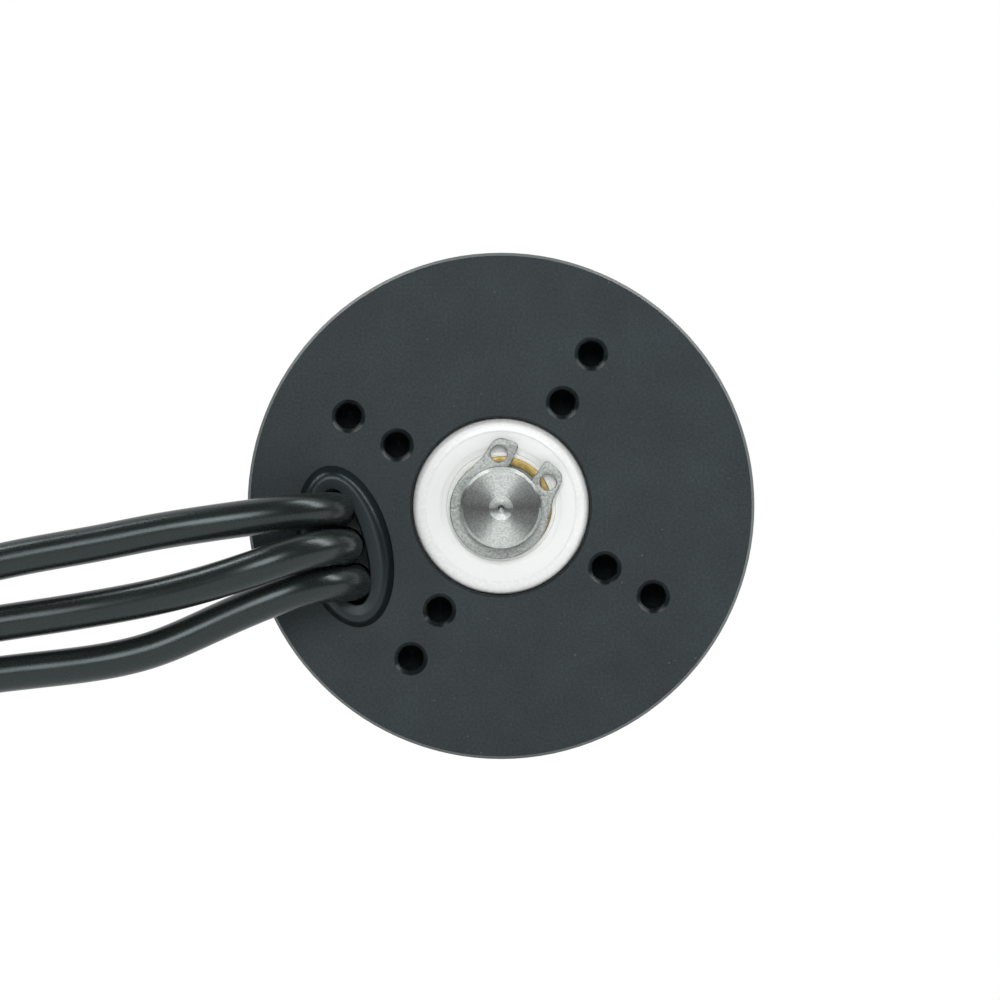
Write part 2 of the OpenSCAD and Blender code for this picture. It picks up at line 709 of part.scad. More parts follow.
module grub_screws() {
    length = boss_r - shaft_r - 2 * fit_gap;
    socket_r = grub_d / 2 * socket_share;
    color(steel_color) face_on() for (turn = grub_turns)
        rotate(turn) translate([shaft_r + fit_gap, 0, -grub_depth]) rotate([0, 90, 0]) difference() {
            cylinder(r = grub_d / 2, h = length);
            translate([0, 0, length * socket_depth_share]) cylinder(r = socket_r, h = length, $fn = 6);
        }
}

module cap_screws() {
    socket_r = cap_screw_head_d / 2 * socket_share;
    color(steel_color) face_on() round_axis(cap_screw_count)
        translate([can_r - fit_gap, 0, -cap_screw_depth]) rotate([0, -90, 0]) difference() {
            union() {
                cylinder(r1 = cap_screw_head_d / 2, r2 = cap_screw_d / 2, h = cap_head_t);
                cylinder(r = cap_screw_d / 2, h = cap_screw_len - 2 * fit_gap);
            }
            translate([0, 0, -overrun]) cylinder(r = socket_r, h = overrun + cap_head_t, $fn = 6);
        }
}

base_plate();
rear_outer_ring();
rear_inner_ring();
rear_seals();
rear_balls();
rear_cage();
front_outer_ring();
front_inner_ring();
front_seals();
front_balls();
front_cage();
stator_core();
rear_insulator();
front_insulator();
phase_a_coils();
phase_b_coils();
phase_c_coils();
winding_splices();
cable_grommet();
outlet_potting();
lead_a();
lead_b();
lead_c();
sleeve_a();
sleeve_b();
sleeve_c();
bullet_a();
bullet_b();
bullet_c();
shaft();
circlip();
thrust_washer();
front_shim();
rotor_can();
magnets_north();
magnets_south();
front_cap();
grub_screws();
cap_screws();
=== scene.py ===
# %% [markdown]
# # A waterproof brushless motor, dressed in Blender
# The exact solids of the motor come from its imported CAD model. This lesson leaves every one of them where it
# is and gives it the finish of the real thing. Where a stamped, moulded, wound or soft piece needs a fuller
# form than the solid has, a new surface takes its place. Each new surface is a formula on a grid of two
# parameters, worked out with numpy and poured into a mesh in one go.

# %% The frame
import json

import bmesh
import bpy
import numpy as np
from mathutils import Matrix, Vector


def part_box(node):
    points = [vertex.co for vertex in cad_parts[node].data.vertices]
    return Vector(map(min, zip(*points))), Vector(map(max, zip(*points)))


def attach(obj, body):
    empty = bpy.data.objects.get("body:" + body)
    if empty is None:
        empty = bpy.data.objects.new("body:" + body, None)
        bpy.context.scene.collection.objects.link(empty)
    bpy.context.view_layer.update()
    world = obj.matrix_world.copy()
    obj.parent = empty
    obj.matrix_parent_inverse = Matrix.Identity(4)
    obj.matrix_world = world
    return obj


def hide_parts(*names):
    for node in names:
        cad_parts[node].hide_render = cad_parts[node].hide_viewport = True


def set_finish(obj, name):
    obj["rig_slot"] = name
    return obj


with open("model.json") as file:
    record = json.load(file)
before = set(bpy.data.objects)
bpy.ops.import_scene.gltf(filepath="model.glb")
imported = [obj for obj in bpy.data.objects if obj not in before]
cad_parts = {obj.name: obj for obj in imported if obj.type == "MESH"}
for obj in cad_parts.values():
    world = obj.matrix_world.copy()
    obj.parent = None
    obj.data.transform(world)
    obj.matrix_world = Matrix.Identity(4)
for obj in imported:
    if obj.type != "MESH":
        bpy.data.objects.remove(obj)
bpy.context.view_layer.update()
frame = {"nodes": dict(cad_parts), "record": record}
nodes = frame["nodes"]
MM = 0.001

# %% [markdown]
# ## The camera
# The photograph looks almost straight along the shaft at the mounting face, from far away, so round things
# stay round. The shaft's end sits a touch lower than the bearing behind it, which says that the camera looks
# down by a few degrees. The scale of the picture comes from the two bolt circles, which are 30 and 44 mm.

# %% Camera
PHOTO_SIDE_PX = 1000
PX_PER_M = 8050
PLATE_CENTRE_PX = np.array([501.0, 506.5])
CAMERA_DISTANCE = 0.7
CAMERA_TILT = np.radians(2.5)
SENSOR_MM = 36.0

looking = np.array([0, np.cos(CAMERA_TILT), -np.sin(CAMERA_TILT)])
upwards = np.array([0, np.sin(CAMERA_TILT), np.cos(CAMERA_TILT)])
aside = (PLATE_CENTRE_PX - PHOTO_SIDE_PX / 2) / PX_PER_M
camera_place = -(CAMERA_DISTANCE * looking + aside[0] * np.array([1.0, 0, 0]) - aside[1] * upwards)

camera_data = bpy.data.cameras.new("photo_camera")
camera_data.sensor_width = SENSOR_MM
camera_data.lens = SENSOR_MM * PX_PER_M * CAMERA_DISTANCE / PHOTO_SIDE_PX
camera_data.clip_start = 0.01
camera_data.clip_end = 50
camera = bpy.data.objects.new("photo_camera", camera_data)
camera.location = camera_place
camera.rotation_euler = (np.pi / 2 - CAMERA_TILT, 0, 0)
bpy.context.scene.collection.objects.link(camera)
bpy.context.scene.camera = camera
print("lens, mm:", round(camera_data.lens, 1))

# %% [markdown]
# ## Surfaces from grids
# Every new piece below is one or more grids of points: rows run along one parameter, columns along the other.
# A grid that comes back to its start is closed by joining its last row or column to the first. A tube that
# ends gets a centre point and a fan of triangles, so nothing is left open. Each grid also lays down a UV map,
# rows on U and columns on V, for patterns that have to follow the surface.


# %% Grid to surface
def grid_surface(grid, closed_rows=False, closed_columns=False, capped=False):
    """Turns a grid of points, shaped (rows, columns, 3), into points, faces and each face corner's UV place.

    Each cell of the grid is one four-sided face. Closing joins the last row or column to the first one.
    Capping fills the first and the last row with a fan round their own centres."""
    rows, columns = grid.shape[:2]
    i, j = np.meshgrid(np.arange(rows if closed_rows else rows - 1),
                       np.arange(columns if closed_columns else columns - 1), indexing="ij")
    corner_i = np.stack([i, i, i + 1, i + 1], -1).reshape(-1, 4)
    corner_j = np.stack([j, j + 1, j + 1, j], -1).reshape(-1, 4)
    faces = (corner_i % rows * columns + corner_j % columns).tolist()
    uv = [np.stack([corner_i / rows, corner_j / columns], -1).reshape(-1, 2)]
    points = grid.reshape(-1, 3)
    if capped:
        around = np.arange(columns)
        for row, turn in ((0, 1), (rows - 1, -1)):
            rim = row * columns + around
            fan = np.stack([np.full(columns, len(points)), rim, np.roll(rim, -1)][::turn], -1)
            points = np.concatenate([points, grid[row].mean(0)[None]])
            faces += fan.tolist()
            uv.append(np.full((3 * columns, 2), row / rows))
    return points, faces, np.concatenate(uv)


# %% Surfaces to piece
SHARP_TURN = np.radians(34)
new_pieces = []


def make_piece(name, surfaces, body, slot, replaces=()):
    """Pours one or more surfaces into one object that rides on a body and takes the place of CAD nodes."""
    starts = np.cumsum([0] + [len(points) for points, _, _ in surfaces])
    faces = [[corner + start for corner in face]
             for start, (_, own_faces, _) in zip(starts.tolist(), surfaces) for face in own_faces]
    mesh = bpy.data.meshes.new(name)
    mesh.from_pydata(np.concatenate([points for points, _, _ in surfaces]).tolist(), [], faces)
    layer = mesh.uv_layers.new(name="along_and_around")
    layer.data.foreach_set("uv", np.concatenate([uv for _, _, uv in surfaces]).ravel())
    return finish_piece(name, mesh, body, slot, replaces)


def finish_piece(name, mesh, body, slot, replaces):
    """Puts a mesh into the scene with its faces outwards, on its body, in the place of its CAD nodes."""
    piece = bpy.data.objects.new(name, mesh)
    bpy.context.scene.collection.objects.link(piece)
    mesh.update()
    turn_outwards(mesh)
    mesh.polygons.foreach_set("use_smooth", np.ones(len(mesh.polygons), bool))
    mesh.set_sharp_from_angle(angle=SHARP_TURN)
    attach(piece, body)
    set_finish(piece, slot)
    if replaces:
        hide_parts(*replaces)
    new_pieces.append(piece)
    print(name, "faces:", len(mesh.polygons))
    return piece


def turn_outwards(mesh):
    """Flips a closed mesh whose faces point inwards, which its signed volume shows."""
    mesh.calc_loop_triangles()
    corners = np.empty(len(mesh.loop_triangles) * 3, np.int32)
    mesh.loop_triangles.foreach_get("vertices", corners)
    places = np.empty(len(mesh.vertices) * 3)
    mesh.vertices.foreach_get("co", places)
    a, b, c = places.reshape(-1, 3)[corners.reshape(-1, 3)].transpose(1, 0, 2)
    if np.einsum("ij,ij->", a, np.cross(b, c)) < 0:
        mesh.flip_normals()


# %% [markdown]
# A turned part is a profile carried round an axis. Its outline is written as straight runs whose corners each
# have a radius, because real turned, ground and moulded parts never have a perfectly sharp corner.


# %% Profiles
def round_corners(outline, closed=True, steps=5):
    """Rounds the corners of an outline of (across, along, corner radius) points.

    The arc that touches both neighbouring sides replaces each corner. It is a blend of the two directions
    from the arc's centre to where it starts and ends, weighted by sines, so its points are evenly spaced."""
    outline = np.array(outline, float)
    rounded = []
    for k, (here, before, after) in enumerate(zip(outline, np.roll(outline, 1, 0), np.roll(outline, -1, 0))):
        point, radius = here[:2], here[2]
        if radius == 0 or (not closed and k in (0, len(outline) - 1)):
            rounded.append(point[None])
            continue
        back = (before[:2] - point) / np.linalg.norm(before[:2] - point)
        ahead = (after[:2] - point) / np.linalg.norm(after[:2] - point)
        half = np.arccos(np.clip(back @ ahead, -1, 1)) / 2
        middle = point + (back + ahead) / np.linalg.norm(back + ahead) * radius / np.sin(half)
        start, end = (point + side * radius / np.tan(half) - middle for side in (back, ahead))
        span = np.pi - 2 * half
        blend = np.linspace(0, 1, steps)[:, None]
        arc = (np.sin((1 - blend) * span) * start + np.sin(blend * span) * end) / np.sin(span)
        rounded.append(middle + arc)
    return np.concatenate(rounded)


def carry_round(profile, centre=(0, 0), around=192):
    """Carries (radius, depth) points once round an axis along Y: x = r cos a, y = depth, z = r sin a."""
    angle = np.linspace(0, 2 * np.pi, around, endpoint=False)[:, None]
    radius, depth = profile[:, 0][None], profile[:, 1][None]
    x = centre[0] + radius * np.cos(angle)
    z = centre[1] + radius * np.sin(angle)
    return np.stack([x, depth + 0 * angle, z], -1)


def turned_ring(outline, around=256):
    """A ring about the shaft axis: its outline, in millimetres, is a loop that stays clear of the axis."""
    return grid_surface(carry_round(round_corners(outline), around=around) * MM, True, True)


def polar(radius, degrees):
    """A point, or a row of points, from a distance and an angle."""
    turn = np.radians(degrees)
    return np.stack([radius * np.cos(turn), radius * np.sin(turn)], -1)


# %% [markdown]
# ## The leads
# The cable outlet holds three soft silicone leads side by side. They come out towards us, bend over at once
# to the left and sag on their way to the surface that the motor lies on. A designer fixes the route by a
# few given points, and the lead then follows the smooth curve of least bending through them, a
# natural cubic spline. The photograph shows about 60 mm of each lead. The rest of a usual 200 mm lies
# loosely beside the motor, where the picture doesn't reach.

# %% Lead routes
LEAD_D = 4.5
LEAD_ROUTES = {
    "a": [[-20.5, 9.5, -0.5], [-20.5, 0, -0.5], [-20.5, -2, -0.4], [-21.9, -6.6, -0.2],
          [-25.5, -9.9, -0.3], [-30.2, -11.4, -0.8], [-36.8, -12, -1.7], [-42.9, -12, -2.7],
          [-49, -12, -3.9], [-55.1, -12, -5], [-61.2, -12, -6.2], [-70, -12, -8.6], [-79, -12, -12],
          [-87.5, -11.5, -16.4], [-95, -9.5, -21.2], [-101, -5.5, -25.4], [-105, 1, -28.2],
          [-107, 9, -29.2], [-107.6, 19, -29.25], [-107, 30, -29.25], [-106, 42, -29.25],
          [-105.2, 53, -29], [-105, 63, -28.4], [-105, 71, -28.4]],
    "b": [[-19.4, 9.5, -5], [-19.4, 0, -5], [-19.4, -5, -4.8], [-20.9, -9.6, -4.6], [-24.4, -12.9, -5.1],
          [-29.2, -14.3, -6.6], [-34.3, -14, -8.3], [-42.8, -12.8, -10.6], [-48.9, -12.2, -11.8],
          [-55, -12, -12.8], [-61, -12, -13.7], [-70, -12, -15.5], [-79, -11.6, -18.6],
          [-86.5, -10, -22.2], [-92.5, -6.5, -25.8], [-96.5, -0.5, -28.4], [-98.5, 7.5, -29.2],
          [-99.4, 17, -29.25], [-99.4, 28, -29.25], [-98.4, 40, -29.25], [-97, 52, -29.25],
          [-96.2, 62, -29], [-96, 71, -28.4], [-96, 79, -28.4]],
    "c": [[-18.3, 9.5, -9.5], [-18.3, 0, -9.5], [-18.3, -1.5, -9.4], [-19.8, -6.1, -9.2],
          [-23.3, -9.4, -9.4], [-28.2, -10.8, -10.9], [-34.6, -11.2, -13.6], [-43, -11.8, -17.1],
          [-49.1, -12, -18.5], [-55.2, -12, -19.3], [-61.3, -12, -20], [-70, -11.6, -21.5],
          [-78, -9.8, -23.8], [-84.5, -6, -26.4], [-88.6, 0.5, -28.5], [-90.6, 9, -29.2],
          [-91.4, 19, -29.25], [-91.2, 30, -29.25], [-90, 42, -29.25], [-88.4, 54, -29.25],
          [-87.4, 65, -29.1], [-87, 75, -28.4], [-87, 84, -28.4]]}


# %% Smooth routes
def natural_spline(points, step):
    """The natural cubic spline through the points, sampled about every step.

    The parameter is the length along the straight runs between the points. The second derivatives at the
    points solve one linear system, which asks for a smooth slope at each point and no bending at the ends."""
    run = np.concatenate([[0], np.cumsum(np.linalg.norm(np.diff(points, axis=0), axis=1))])
    width = np.diff(run)
    count = len(points)
    system, wanted = np.eye(count), np.zeros((count, 3))
    inner = np.arange(1, count - 1)
    system[inner, inner - 1], system[inner, inner + 1] = width[:-1], width[1:]
    system[inner, inner] = 2 * (width[:-1] + width[1:])
    wanted[1:-1] = 6 * np.diff(np.diff(points, axis=0) / width[:, None], axis=0)
    bend = np.linalg.solve(system, wanted)
    at = np.linspace(0, run[-1], int(run[-1] / step) + 1)
    k = np.clip(np.searchsorted(run, at, side="right") - 1, 0, count - 2)
    h, left, right = width[k, None], (run[k + 1] - at)[:, None], (at - run[k])[:, None]
    return ((bend[k] * left**3 + bend[k + 1] * right**3) / (6 * h)
            + (points[k] / h - bend[k] * h / 6) * left + (points[k + 1] / h - bend[k + 1] * h / 6) * right)


def tube_along(path, radius, around):
    """Rings of a tube: at each point of the path, a circle square to the path's direction."""
    ahead = np.gradient(path, axis=0)
    ahead /= np.linalg.norm(ahead, axis=1)[:, None]
    across = np.cross(ahead, [0, 0, 1.0])
    across /= np.linalg.norm(across, axis=1)[:, None]
    over = np.cross(across, ahead)
    angle = np.linspace(0, 2 * np.pi, around, endpoint=False)[None, :, None]
    return path[:, None] + radius * (np.cos(angle) * across[:, None] + np.sin(angle) * over[:, None])


# %% The three leads
LEAD_STEP = 0.8
LEAD_SIDES = 48
for letter, route in LEAD_ROUTES.items():
    path = natural_spline(np.array(route, float), LEAD_STEP) * MM
    rings = tube_along(path, LEAD_D / 2 * MM, LEAD_SIDES)
    lead = make_piece(f"lead_{letter}_silicone", [grid_surface(rings, closed_columns=True, capped=True)],
                      "stator", "lead_silicone", [f"lead_{letter}"])

# %% [markdown]
# ## Sleeves and bullet plugs
# Each lead ends in a gold-plated bullet plug. A piece of heat-shrink tube covers the joint: it was slid on
# wide and shrank tight over the lead and over the solder cup, so it is waisted where it steps down from one
# to the other. The pin of such a plug is a lantern spring: four slits let it bulge and grip its socket.

# %% Sleeves
SLEEVE_LAP = 6.0
SLEEVE_LEN = 14.0
SLEEVE_BORE = 2.35
SLEEVE_R = 3.05
WAIST_DEPTH = 0.16
WAIST_SHARE = 0.09
RIM_DEPTH = 0.28
RIM_SHARE = 0.03


def sleeve_profile(steps=40):
    """Outside of a shrunk sleeve as (radius, distance from the lead's end), then back along its bore.

    The radius is the full one, less a bell curve of the length at the joint, where the sleeve waists, and
    less an exponential that fades from each rim, where it rounds in."""
    along = np.linspace(0, 1, steps)
    waist = WAIST_DEPTH * np.exp(-((along - SLEEVE_LAP / SLEEVE_LEN) / WAIST_SHARE) ** 2)
    rim = RIM_DEPTH * (np.exp(-along / RIM_SHARE) + np.exp(-(1 - along) / RIM_SHARE))
    outside = np.stack([SLEEVE_R - waist - rim, along * SLEEVE_LEN - SLEEVE_LAP], 1)
    bore = np.stack([np.full(2, SLEEVE_BORE), np.array([1, 0]) * SLEEVE_LEN - SLEEVE_LAP], 1)
    return np.concatenate([outside, bore])


for letter, route in LEAD_ROUTES.items():
    x, y, z = route[-1]
    grid = (carry_round(sleeve_profile(), (x, z), 64) + [0, y, 0]) * MM
    make_piece(f"sleeve_{letter}_shrunk", [grid_surface(grid, True, True)], "stator", "heat_shrink",
               [f"sleeve_{letter}"])

# %% Bullet plugs
PLUG_TAIL = SLEEVE_LEN - SLEEVE_LAP
CUP_R = 2.2
CUP_EDGE = 0.1
COLLAR_R = 2.5
COLLAR_T = 1.0
COLLAR_EDGE = 0.15
NECK_R = 1.75
PIN_R = 2.0
PIN_LEN = 12.0
PIN_START_SHARE = 0.02
BULGE_SHARE = 0.86
BULGE_POWER = 0.7
TIP_START_SHARE = 0.9
TIP_SHARE = 0.102
SLIT_COUNT = 4
SLIT_DEPTH_SHARE = 0.22
SLIT_WIDTH_SHARE = 0.07
SLIT_SHARES = (0.1, 0.84)
SLIT_FADE_SHARE = 0.02


def bullet_grid(centre, start, around=96, along=80):
    """A bullet plug: solder cup, collar and lantern pin.

    The pin's radius is a long low arch, half a sine wave to a power, over a slimmer core, and its tip is
    round. Four slits are cut into the arch: near each quarter turn the radius drops by the slit's depth, but
    only over the middle of the pin."""
    neck = PLUG_TAIL + COLLAR_T
    cup = round_corners([[CUP_R - CUP_EDGE, 0, 0], [CUP_R, CUP_EDGE, CUP_EDGE / 2],
                         [CUP_R, PLUG_TAIL, CUP_EDGE], [COLLAR_R, PLUG_TAIL, COLLAR_EDGE],
                         [COLLAR_R, neck, COLLAR_EDGE], [NECK_R, neck, 0]], closed=False)
    share = np.linspace(PIN_START_SHARE, 1, along)
    bulge = np.sin(np.pi * np.clip(share, 0, BULGE_SHARE) / BULGE_SHARE) ** BULGE_POWER
    round_tip = np.sqrt(np.clip(1 - (np.clip(share - TIP_START_SHARE, 0, 1) / TIP_SHARE) ** 2, 0, 1))
    radius = (NECK_R + (PIN_R - NECK_R) * bulge) * round_tip
    profile = np.concatenate([cup, np.stack([radius, neck + share * PIN_LEN], 1)])
    grid = carry_round(profile, (0, 0), around)
    angle = np.linspace(0, 2 * np.pi, around, endpoint=False)[:, None]
    from_slit = np.mod(angle * SLIT_COUNT / (2 * np.pi) + 0.5, 1) - 0.5
    near_slit = np.exp(-(from_slit / SLIT_WIDTH_SHARE) ** 4)
    from_ends = np.minimum(share - SLIT_SHARES[0], SLIT_SHARES[1] - share)
    on_pin = np.concatenate([np.zeros(len(cup)), np.clip(from_ends / SLIT_FADE_SHARE, 0, 1)])
    grid[..., [0, 2]] *= (1 - SLIT_DEPTH_SHARE * near_slit * on_pin[None])[..., None]
    return (grid + [centre[0], start, centre[1]]).transpose(1, 0, 2)


for letter, route in LEAD_ROUTES.items():
    x, y, z = route[-1]
    plug = grid_surface(bullet_grid((x, z), y) * MM, closed_columns=True, capped=True)
    make_piece(f"bullet_{letter}_plug", [plug], "stator", "gold_plated", [f"bullet_{letter}"])

# %% [markdown]
# ## The cable grommet
# The grommet is one rubber moulding: a body that fills the slot in the plate, a lip on the outside that the
# leads lie over, and a flange behind. The lip is nearly flat beside the leads and drops steeply at its
# outer edge, which looks dark because it mirrors the black plate. Its outline is an ellipse and its opening
# a squarer oval. So the whole piece is one closed profile carried round, over the lip to the back and in
# again.

# %% Grommet
OUTLET_TURN = np.radians(194.4)
OUTLET_R = 20.0
GROMMET_HALF = np.array([5.7, 10.25])
OPENING_HALF = np.array([2.45, 7.25])
OPENING_CORNER_SHARE = 0.9
LIP_W = 3.25
LIP_START_H = 2.05
LIP_START_CORNER = 0.3
LIP_SHOULDER = (2.3, 2.3)
LIP_SHOULDER_CORNER = 1.2
FLANGE_LAP = 0.6
FLANGE_T = 1.0
FLANGE_CORNERS = (0.2, 0.4)
PLATE_T = 8.0


def grommet_profile():
    """Closed profile of (way out from the opening, depth) over the lip and round the back.

    The lip is nearly flat by the leads, turns over a round shoulder and comes down steeply on the plate."""
    back = PLATE_T + FLANGE_T
    brim = LIP_W + FLANGE_LAP
    shoulder, height = LIP_SHOULDER
    return round_corners([[0, -LIP_START_H, LIP_START_CORNER], [shoulder, -height, LIP_SHOULDER_CORNER],
                          [LIP_W, 0, 0], [LIP_W, PLATE_T, FLANGE_CORNERS[0] / 2],
                          [brim, PLATE_T, FLANGE_CORNERS[0]], [brim, back, FLANGE_CORNERS[1]],
                          [0, back, LIP_START_CORNER]], steps=13)


def oval_loft(profile, around=160):
    """Carries (way out, depth) points round the cable outlet.

    Each oval is half size times a power of (cos, sin): the power 1 makes an ellipse, less makes it squarer. A
    point blends the opening's oval and the lip's outer one, and beyond the lip it goes on straight out."""
    angle = np.linspace(0, 2 * np.pi, around, endpoint=False)
    way = np.stack([np.cos(angle), np.sin(angle)], -1)
    opening = OPENING_HALF * np.sign(way) * np.abs(way) ** OPENING_CORNER_SHARE
    out, depth = profile.T[:, None, :, None]
    share = np.clip(out / LIP_W, 0, 1)
    beyond = np.clip(out - LIP_W, 0, None)
    flat = opening[:, None] * (1 - share) + (GROMMET_HALF * way)[:, None] * share + way[:, None] * beyond
    across, along = flat[..., 0] + OUTLET_R, flat[..., 1]
    x = across * np.cos(OUTLET_TURN) - along * np.sin(OUTLET_TURN)
    z = across * np.sin(OUTLET_TURN) + along * np.cos(OUTLET_TURN)
    return np.stack([x, depth[..., 0] + 0 * x, z], -1)


make_piece("grommet_moulding", [grid_surface(oval_loft(grommet_profile()) * MM, True, True)], "stator",
           "grommet_rubber", ["cable_grommet"])

# %% [markdown]
# ## The rear bearing
# The white bearing is a sealed ceramic one. Its rings have ground faces, and the outer one has a generous
# corner radius. The seals are nearly level with the rings, so all that shows of them is a fine groove at each
# edge and a low step where the seal's lip begins.

# %% Bearing rings
BEARING_START = -0.2
BEARING_W = 6.0
BEARING_END = BEARING_START + BEARING_W
INNER_RING_R = (5.03, 6.75)
OUTER_RING_R = (9.3, 11.0)
FACE_CORNER = 1.5
BACK_CORNER = 0.4
BORE_CORNER = 0.25
OUTER_SEAT_CORNERS = (0.03, 0.1)
INNER_SEAT_CORNERS = (0.06, 0.12)
BALL_PATH_R = 8.025
RACE_R = 1.66


def race_arc(land_r, steps=12):
    """The ball groove in a ring's land: an arc round the balls' path, as (radius, depth, corner) points."""
    side = np.sign(land_r - BALL_PATH_R)
    reach = np.arccos(abs(land_r - BALL_PATH_R) / RACE_R)
    turn = np.linspace(-reach, reach, steps)
    return np.column_stack([BALL_PATH_R + side * RACE_R * np.cos(turn),
                            BEARING_START + BEARING_W / 2 + RACE_R * np.sin(turn), np.zeros(steps)])


outer_ring = np.concatenate([
    [[OUTER_RING_R[0], BEARING_START, OUTER_SEAT_CORNERS[0]], [OUTER_RING_R[1], BEARING_START, FACE_CORNER],
     [OUTER_RING_R[1], BEARING_END, BACK_CORNER], [OUTER_RING_R[0], BEARING_END, OUTER_SEAT_CORNERS[1]]],
    race_arc(OUTER_RING_R[0])[::-1]])
inner_ring = np.concatenate([
    [[INNER_RING_R[0], BEARING_START, BORE_CORNER], [INNER_RING_R[1], BEARING_START, INNER_SEAT_CORNERS[0]]],
    race_arc(INNER_RING_R[1]),
    [[INNER_RING_R[1], BEARING_END, INNER_SEAT_CORNERS[1]], [INNER_RING_R[0], BEARING_END, BORE_CORNER]]])
make_piece("rear_outer_ring_ground", [turned_ring(outer_ring)], "stator", "ceramic_white",
           ["rear_outer_ring"])
make_piece("rear_inner_ring_ground", [turned_ring(inner_ring)], "rotor", "ceramic_white",
           ["rear_inner_ring"])

# %% Seals
SEAL_R = (6.78, 9.3)
SEAL_LIP_R = 7.45
SEAL_LIP_STEP = 0.07
SEAL_T = 0.45
SEAL_INSET = 0.03
SEAL_EDGE = 0.05
SEAL_RIM_EDGE = 0.02
SEAL_RAMP = 0.15
SEAL_RAMP_CORNER = 0.3


def seal_outline(face, inwards):
    """A moulded seal: a plain band, and a short ramp down to a lower lip at its inner edge.

    Inwards is +1 or -1, the way from the face into the bearing."""
    step = face + inwards * SEAL_LIP_STEP
    back = face + inwards * SEAL_T
    return [[SEAL_R[0], step, SEAL_EDGE], [SEAL_LIP_R - SEAL_RAMP, step, SEAL_RAMP_CORNER],
            [SEAL_LIP_R + SEAL_RAMP, face, SEAL_RAMP_CORNER], [SEAL_R[1], face, SEAL_RIM_EDGE],
            [SEAL_R[1], back, SEAL_EDGE], [SEAL_R[0], back, SEAL_EDGE]]


make_piece("rear_seals_moulded",
           [turned_ring(seal_outline(BEARING_START + SEAL_INSET, 1)),
            turned_ring(seal_outline(BEARING_END - SEAL_INSET, -1))], "stator", "seal_white", ["rear_seals"])

# %% [markdown]
# ## The circlip
# A circlip is stamped from spring steel: a beam that is widest opposite its gap, and two lugs with holes
# for the pliers. A stamping is easiest as a flat curve. Its outline and its two holes are filled, given the
# sheet's thickness and a small round edge, and then made a mesh.

# %% Circlip outline
CLIP_MIDDLE = 60
CLIP_LUG_TURN = 32.3
CLIP_DEPTHS = (-1.7, -0.7)
CLIP_BORE_R = 4.83
CLIP_BEAM_R = 6.2
CLIP_SHIFT = 0.3
CLIP_HOLE_R = 1.02
CLIP_HOLE_PLACE_R = 6.6
CLIP_EDGE = 0.13
CLIP_GAP_TURN = 19.5
LUG_RADII = (8.15, 8.875, 6.66)
LUG_TURNS = (13.5, 34.1, 49.7)
LUG_CORNERS = (0.55, 1.5, 2.5)
BEAM_TURNS = (80, 180)


def clip_outline():
    """Half of the circlip's outline and its mirror image, about the middle of its gap.

    The half starts on the bore at the gap, goes out along the lug's side, round its two outer corners and
    down its flank, which runs into the beam's outer circle, and follows that circle to the far side. The way
    back is the bore."""
    lug_points = polar(np.array([CLIP_BORE_R, *LUG_RADII]), np.array([CLIP_GAP_TURN, *LUG_TURNS]))
    lug = np.column_stack([lug_points, [0, *LUG_CORNERS]])
    beam = polar(CLIP_BEAM_R, np.linspace(*BEAM_TURNS, 48)) - [CLIP_SHIFT, 0]
    outer = np.concatenate([round_corners([*lug, [*beam[0], 0]], closed=False, steps=9), beam[1:]])
    bore = polar(CLIP_BORE_R, np.linspace(180, CLIP_GAP_TURN, 60)[1:-1])
    mirror = np.array([1, -1])
    return np.concatenate([outer, outer[-2::-1] * mirror, bore[::-1] * mirror, bore])


def ring_outline(middle, radius, steps=48):
    """A circle round a point."""
    return middle + polar(radius, np.linspace(0, 360, steps, endpoint=False))


# %% Stamping
DOUBLES_APART = 1e-7


def stamping(name, outlines, depths, edge, body, slot, replaces):
    """A stamped part: flat outlines, the first one filled and the others cut out, with rounded edges."""
    curve = bpy.data.curves.new(name, "CURVE")
    curve.dimensions = "2D"
    curve.fill_mode = "BOTH"
    curve.extrude = (depths[1] - depths[0]) / 2 - edge
    curve.bevel_depth = edge
    curve.bevel_resolution = 3
    curve.offset = -edge
    for outline in outlines:
        spline = curve.splines.new("POLY")
        spline.points.add(len(outline) - 1)
        spline.points.foreach_set("co", np.column_stack([outline, np.zeros((len(outline), 2))]).ravel())
        spline.use_cyclic_u = True
    flat = bpy.data.objects.new(name + "_flat", curve)
    bpy.context.scene.collection.objects.link(flat)
    shown = flat.evaluated_get(bpy.context.evaluated_depsgraph_get())
    mesh = bpy.data.meshes.new_from_object(shown)
    bpy.data.objects.remove(flat)
    places = np.empty(len(mesh.vertices) * 3)
    mesh.vertices.foreach_get("co", places)
    x, y, z = places.reshape(-1, 3).T
    mesh.vertices.foreach_set("co", (np.stack([x, sum(depths) / 2 - z, y], 1) * MM).ravel())
    weld(mesh)
    return finish_piece(name, mesh, body, slot, replaces)


def weld(mesh):
    """Merges a mesh's doubles and recalculates its normals."""
    soup = bmesh.new()
    soup.from_mesh(mesh)
    bmesh.ops.remove_doubles(soup, verts=soup.verts, dist=DOUBLES_APART)
    bmesh.ops.recalc_face_normals(soup, faces=soup.faces)
    soup.to_mesh(mesh)
    soup.free()


def about_axis(points, degrees):
    """Points turned about the shaft axis."""
    turn = np.radians(degrees)
    return points @ np.array([[np.cos(turn), np.sin(turn)], [-np.sin(turn), np.cos(turn)]])


clip_holes = [ring_outline(polar(CLIP_HOLE_PLACE_R, CLIP_MIDDLE + side * CLIP_LUG_TURN), CLIP_HOLE_R)
              for side in (1, -1)]
stamping("circlip_stamped", [about_axis(clip_outline(), CLIP_MIDDLE), *clip_holes], CLIP_DEPTHS, CLIP_EDGE,
         "rotor", "spring_steel", ["circlip"])

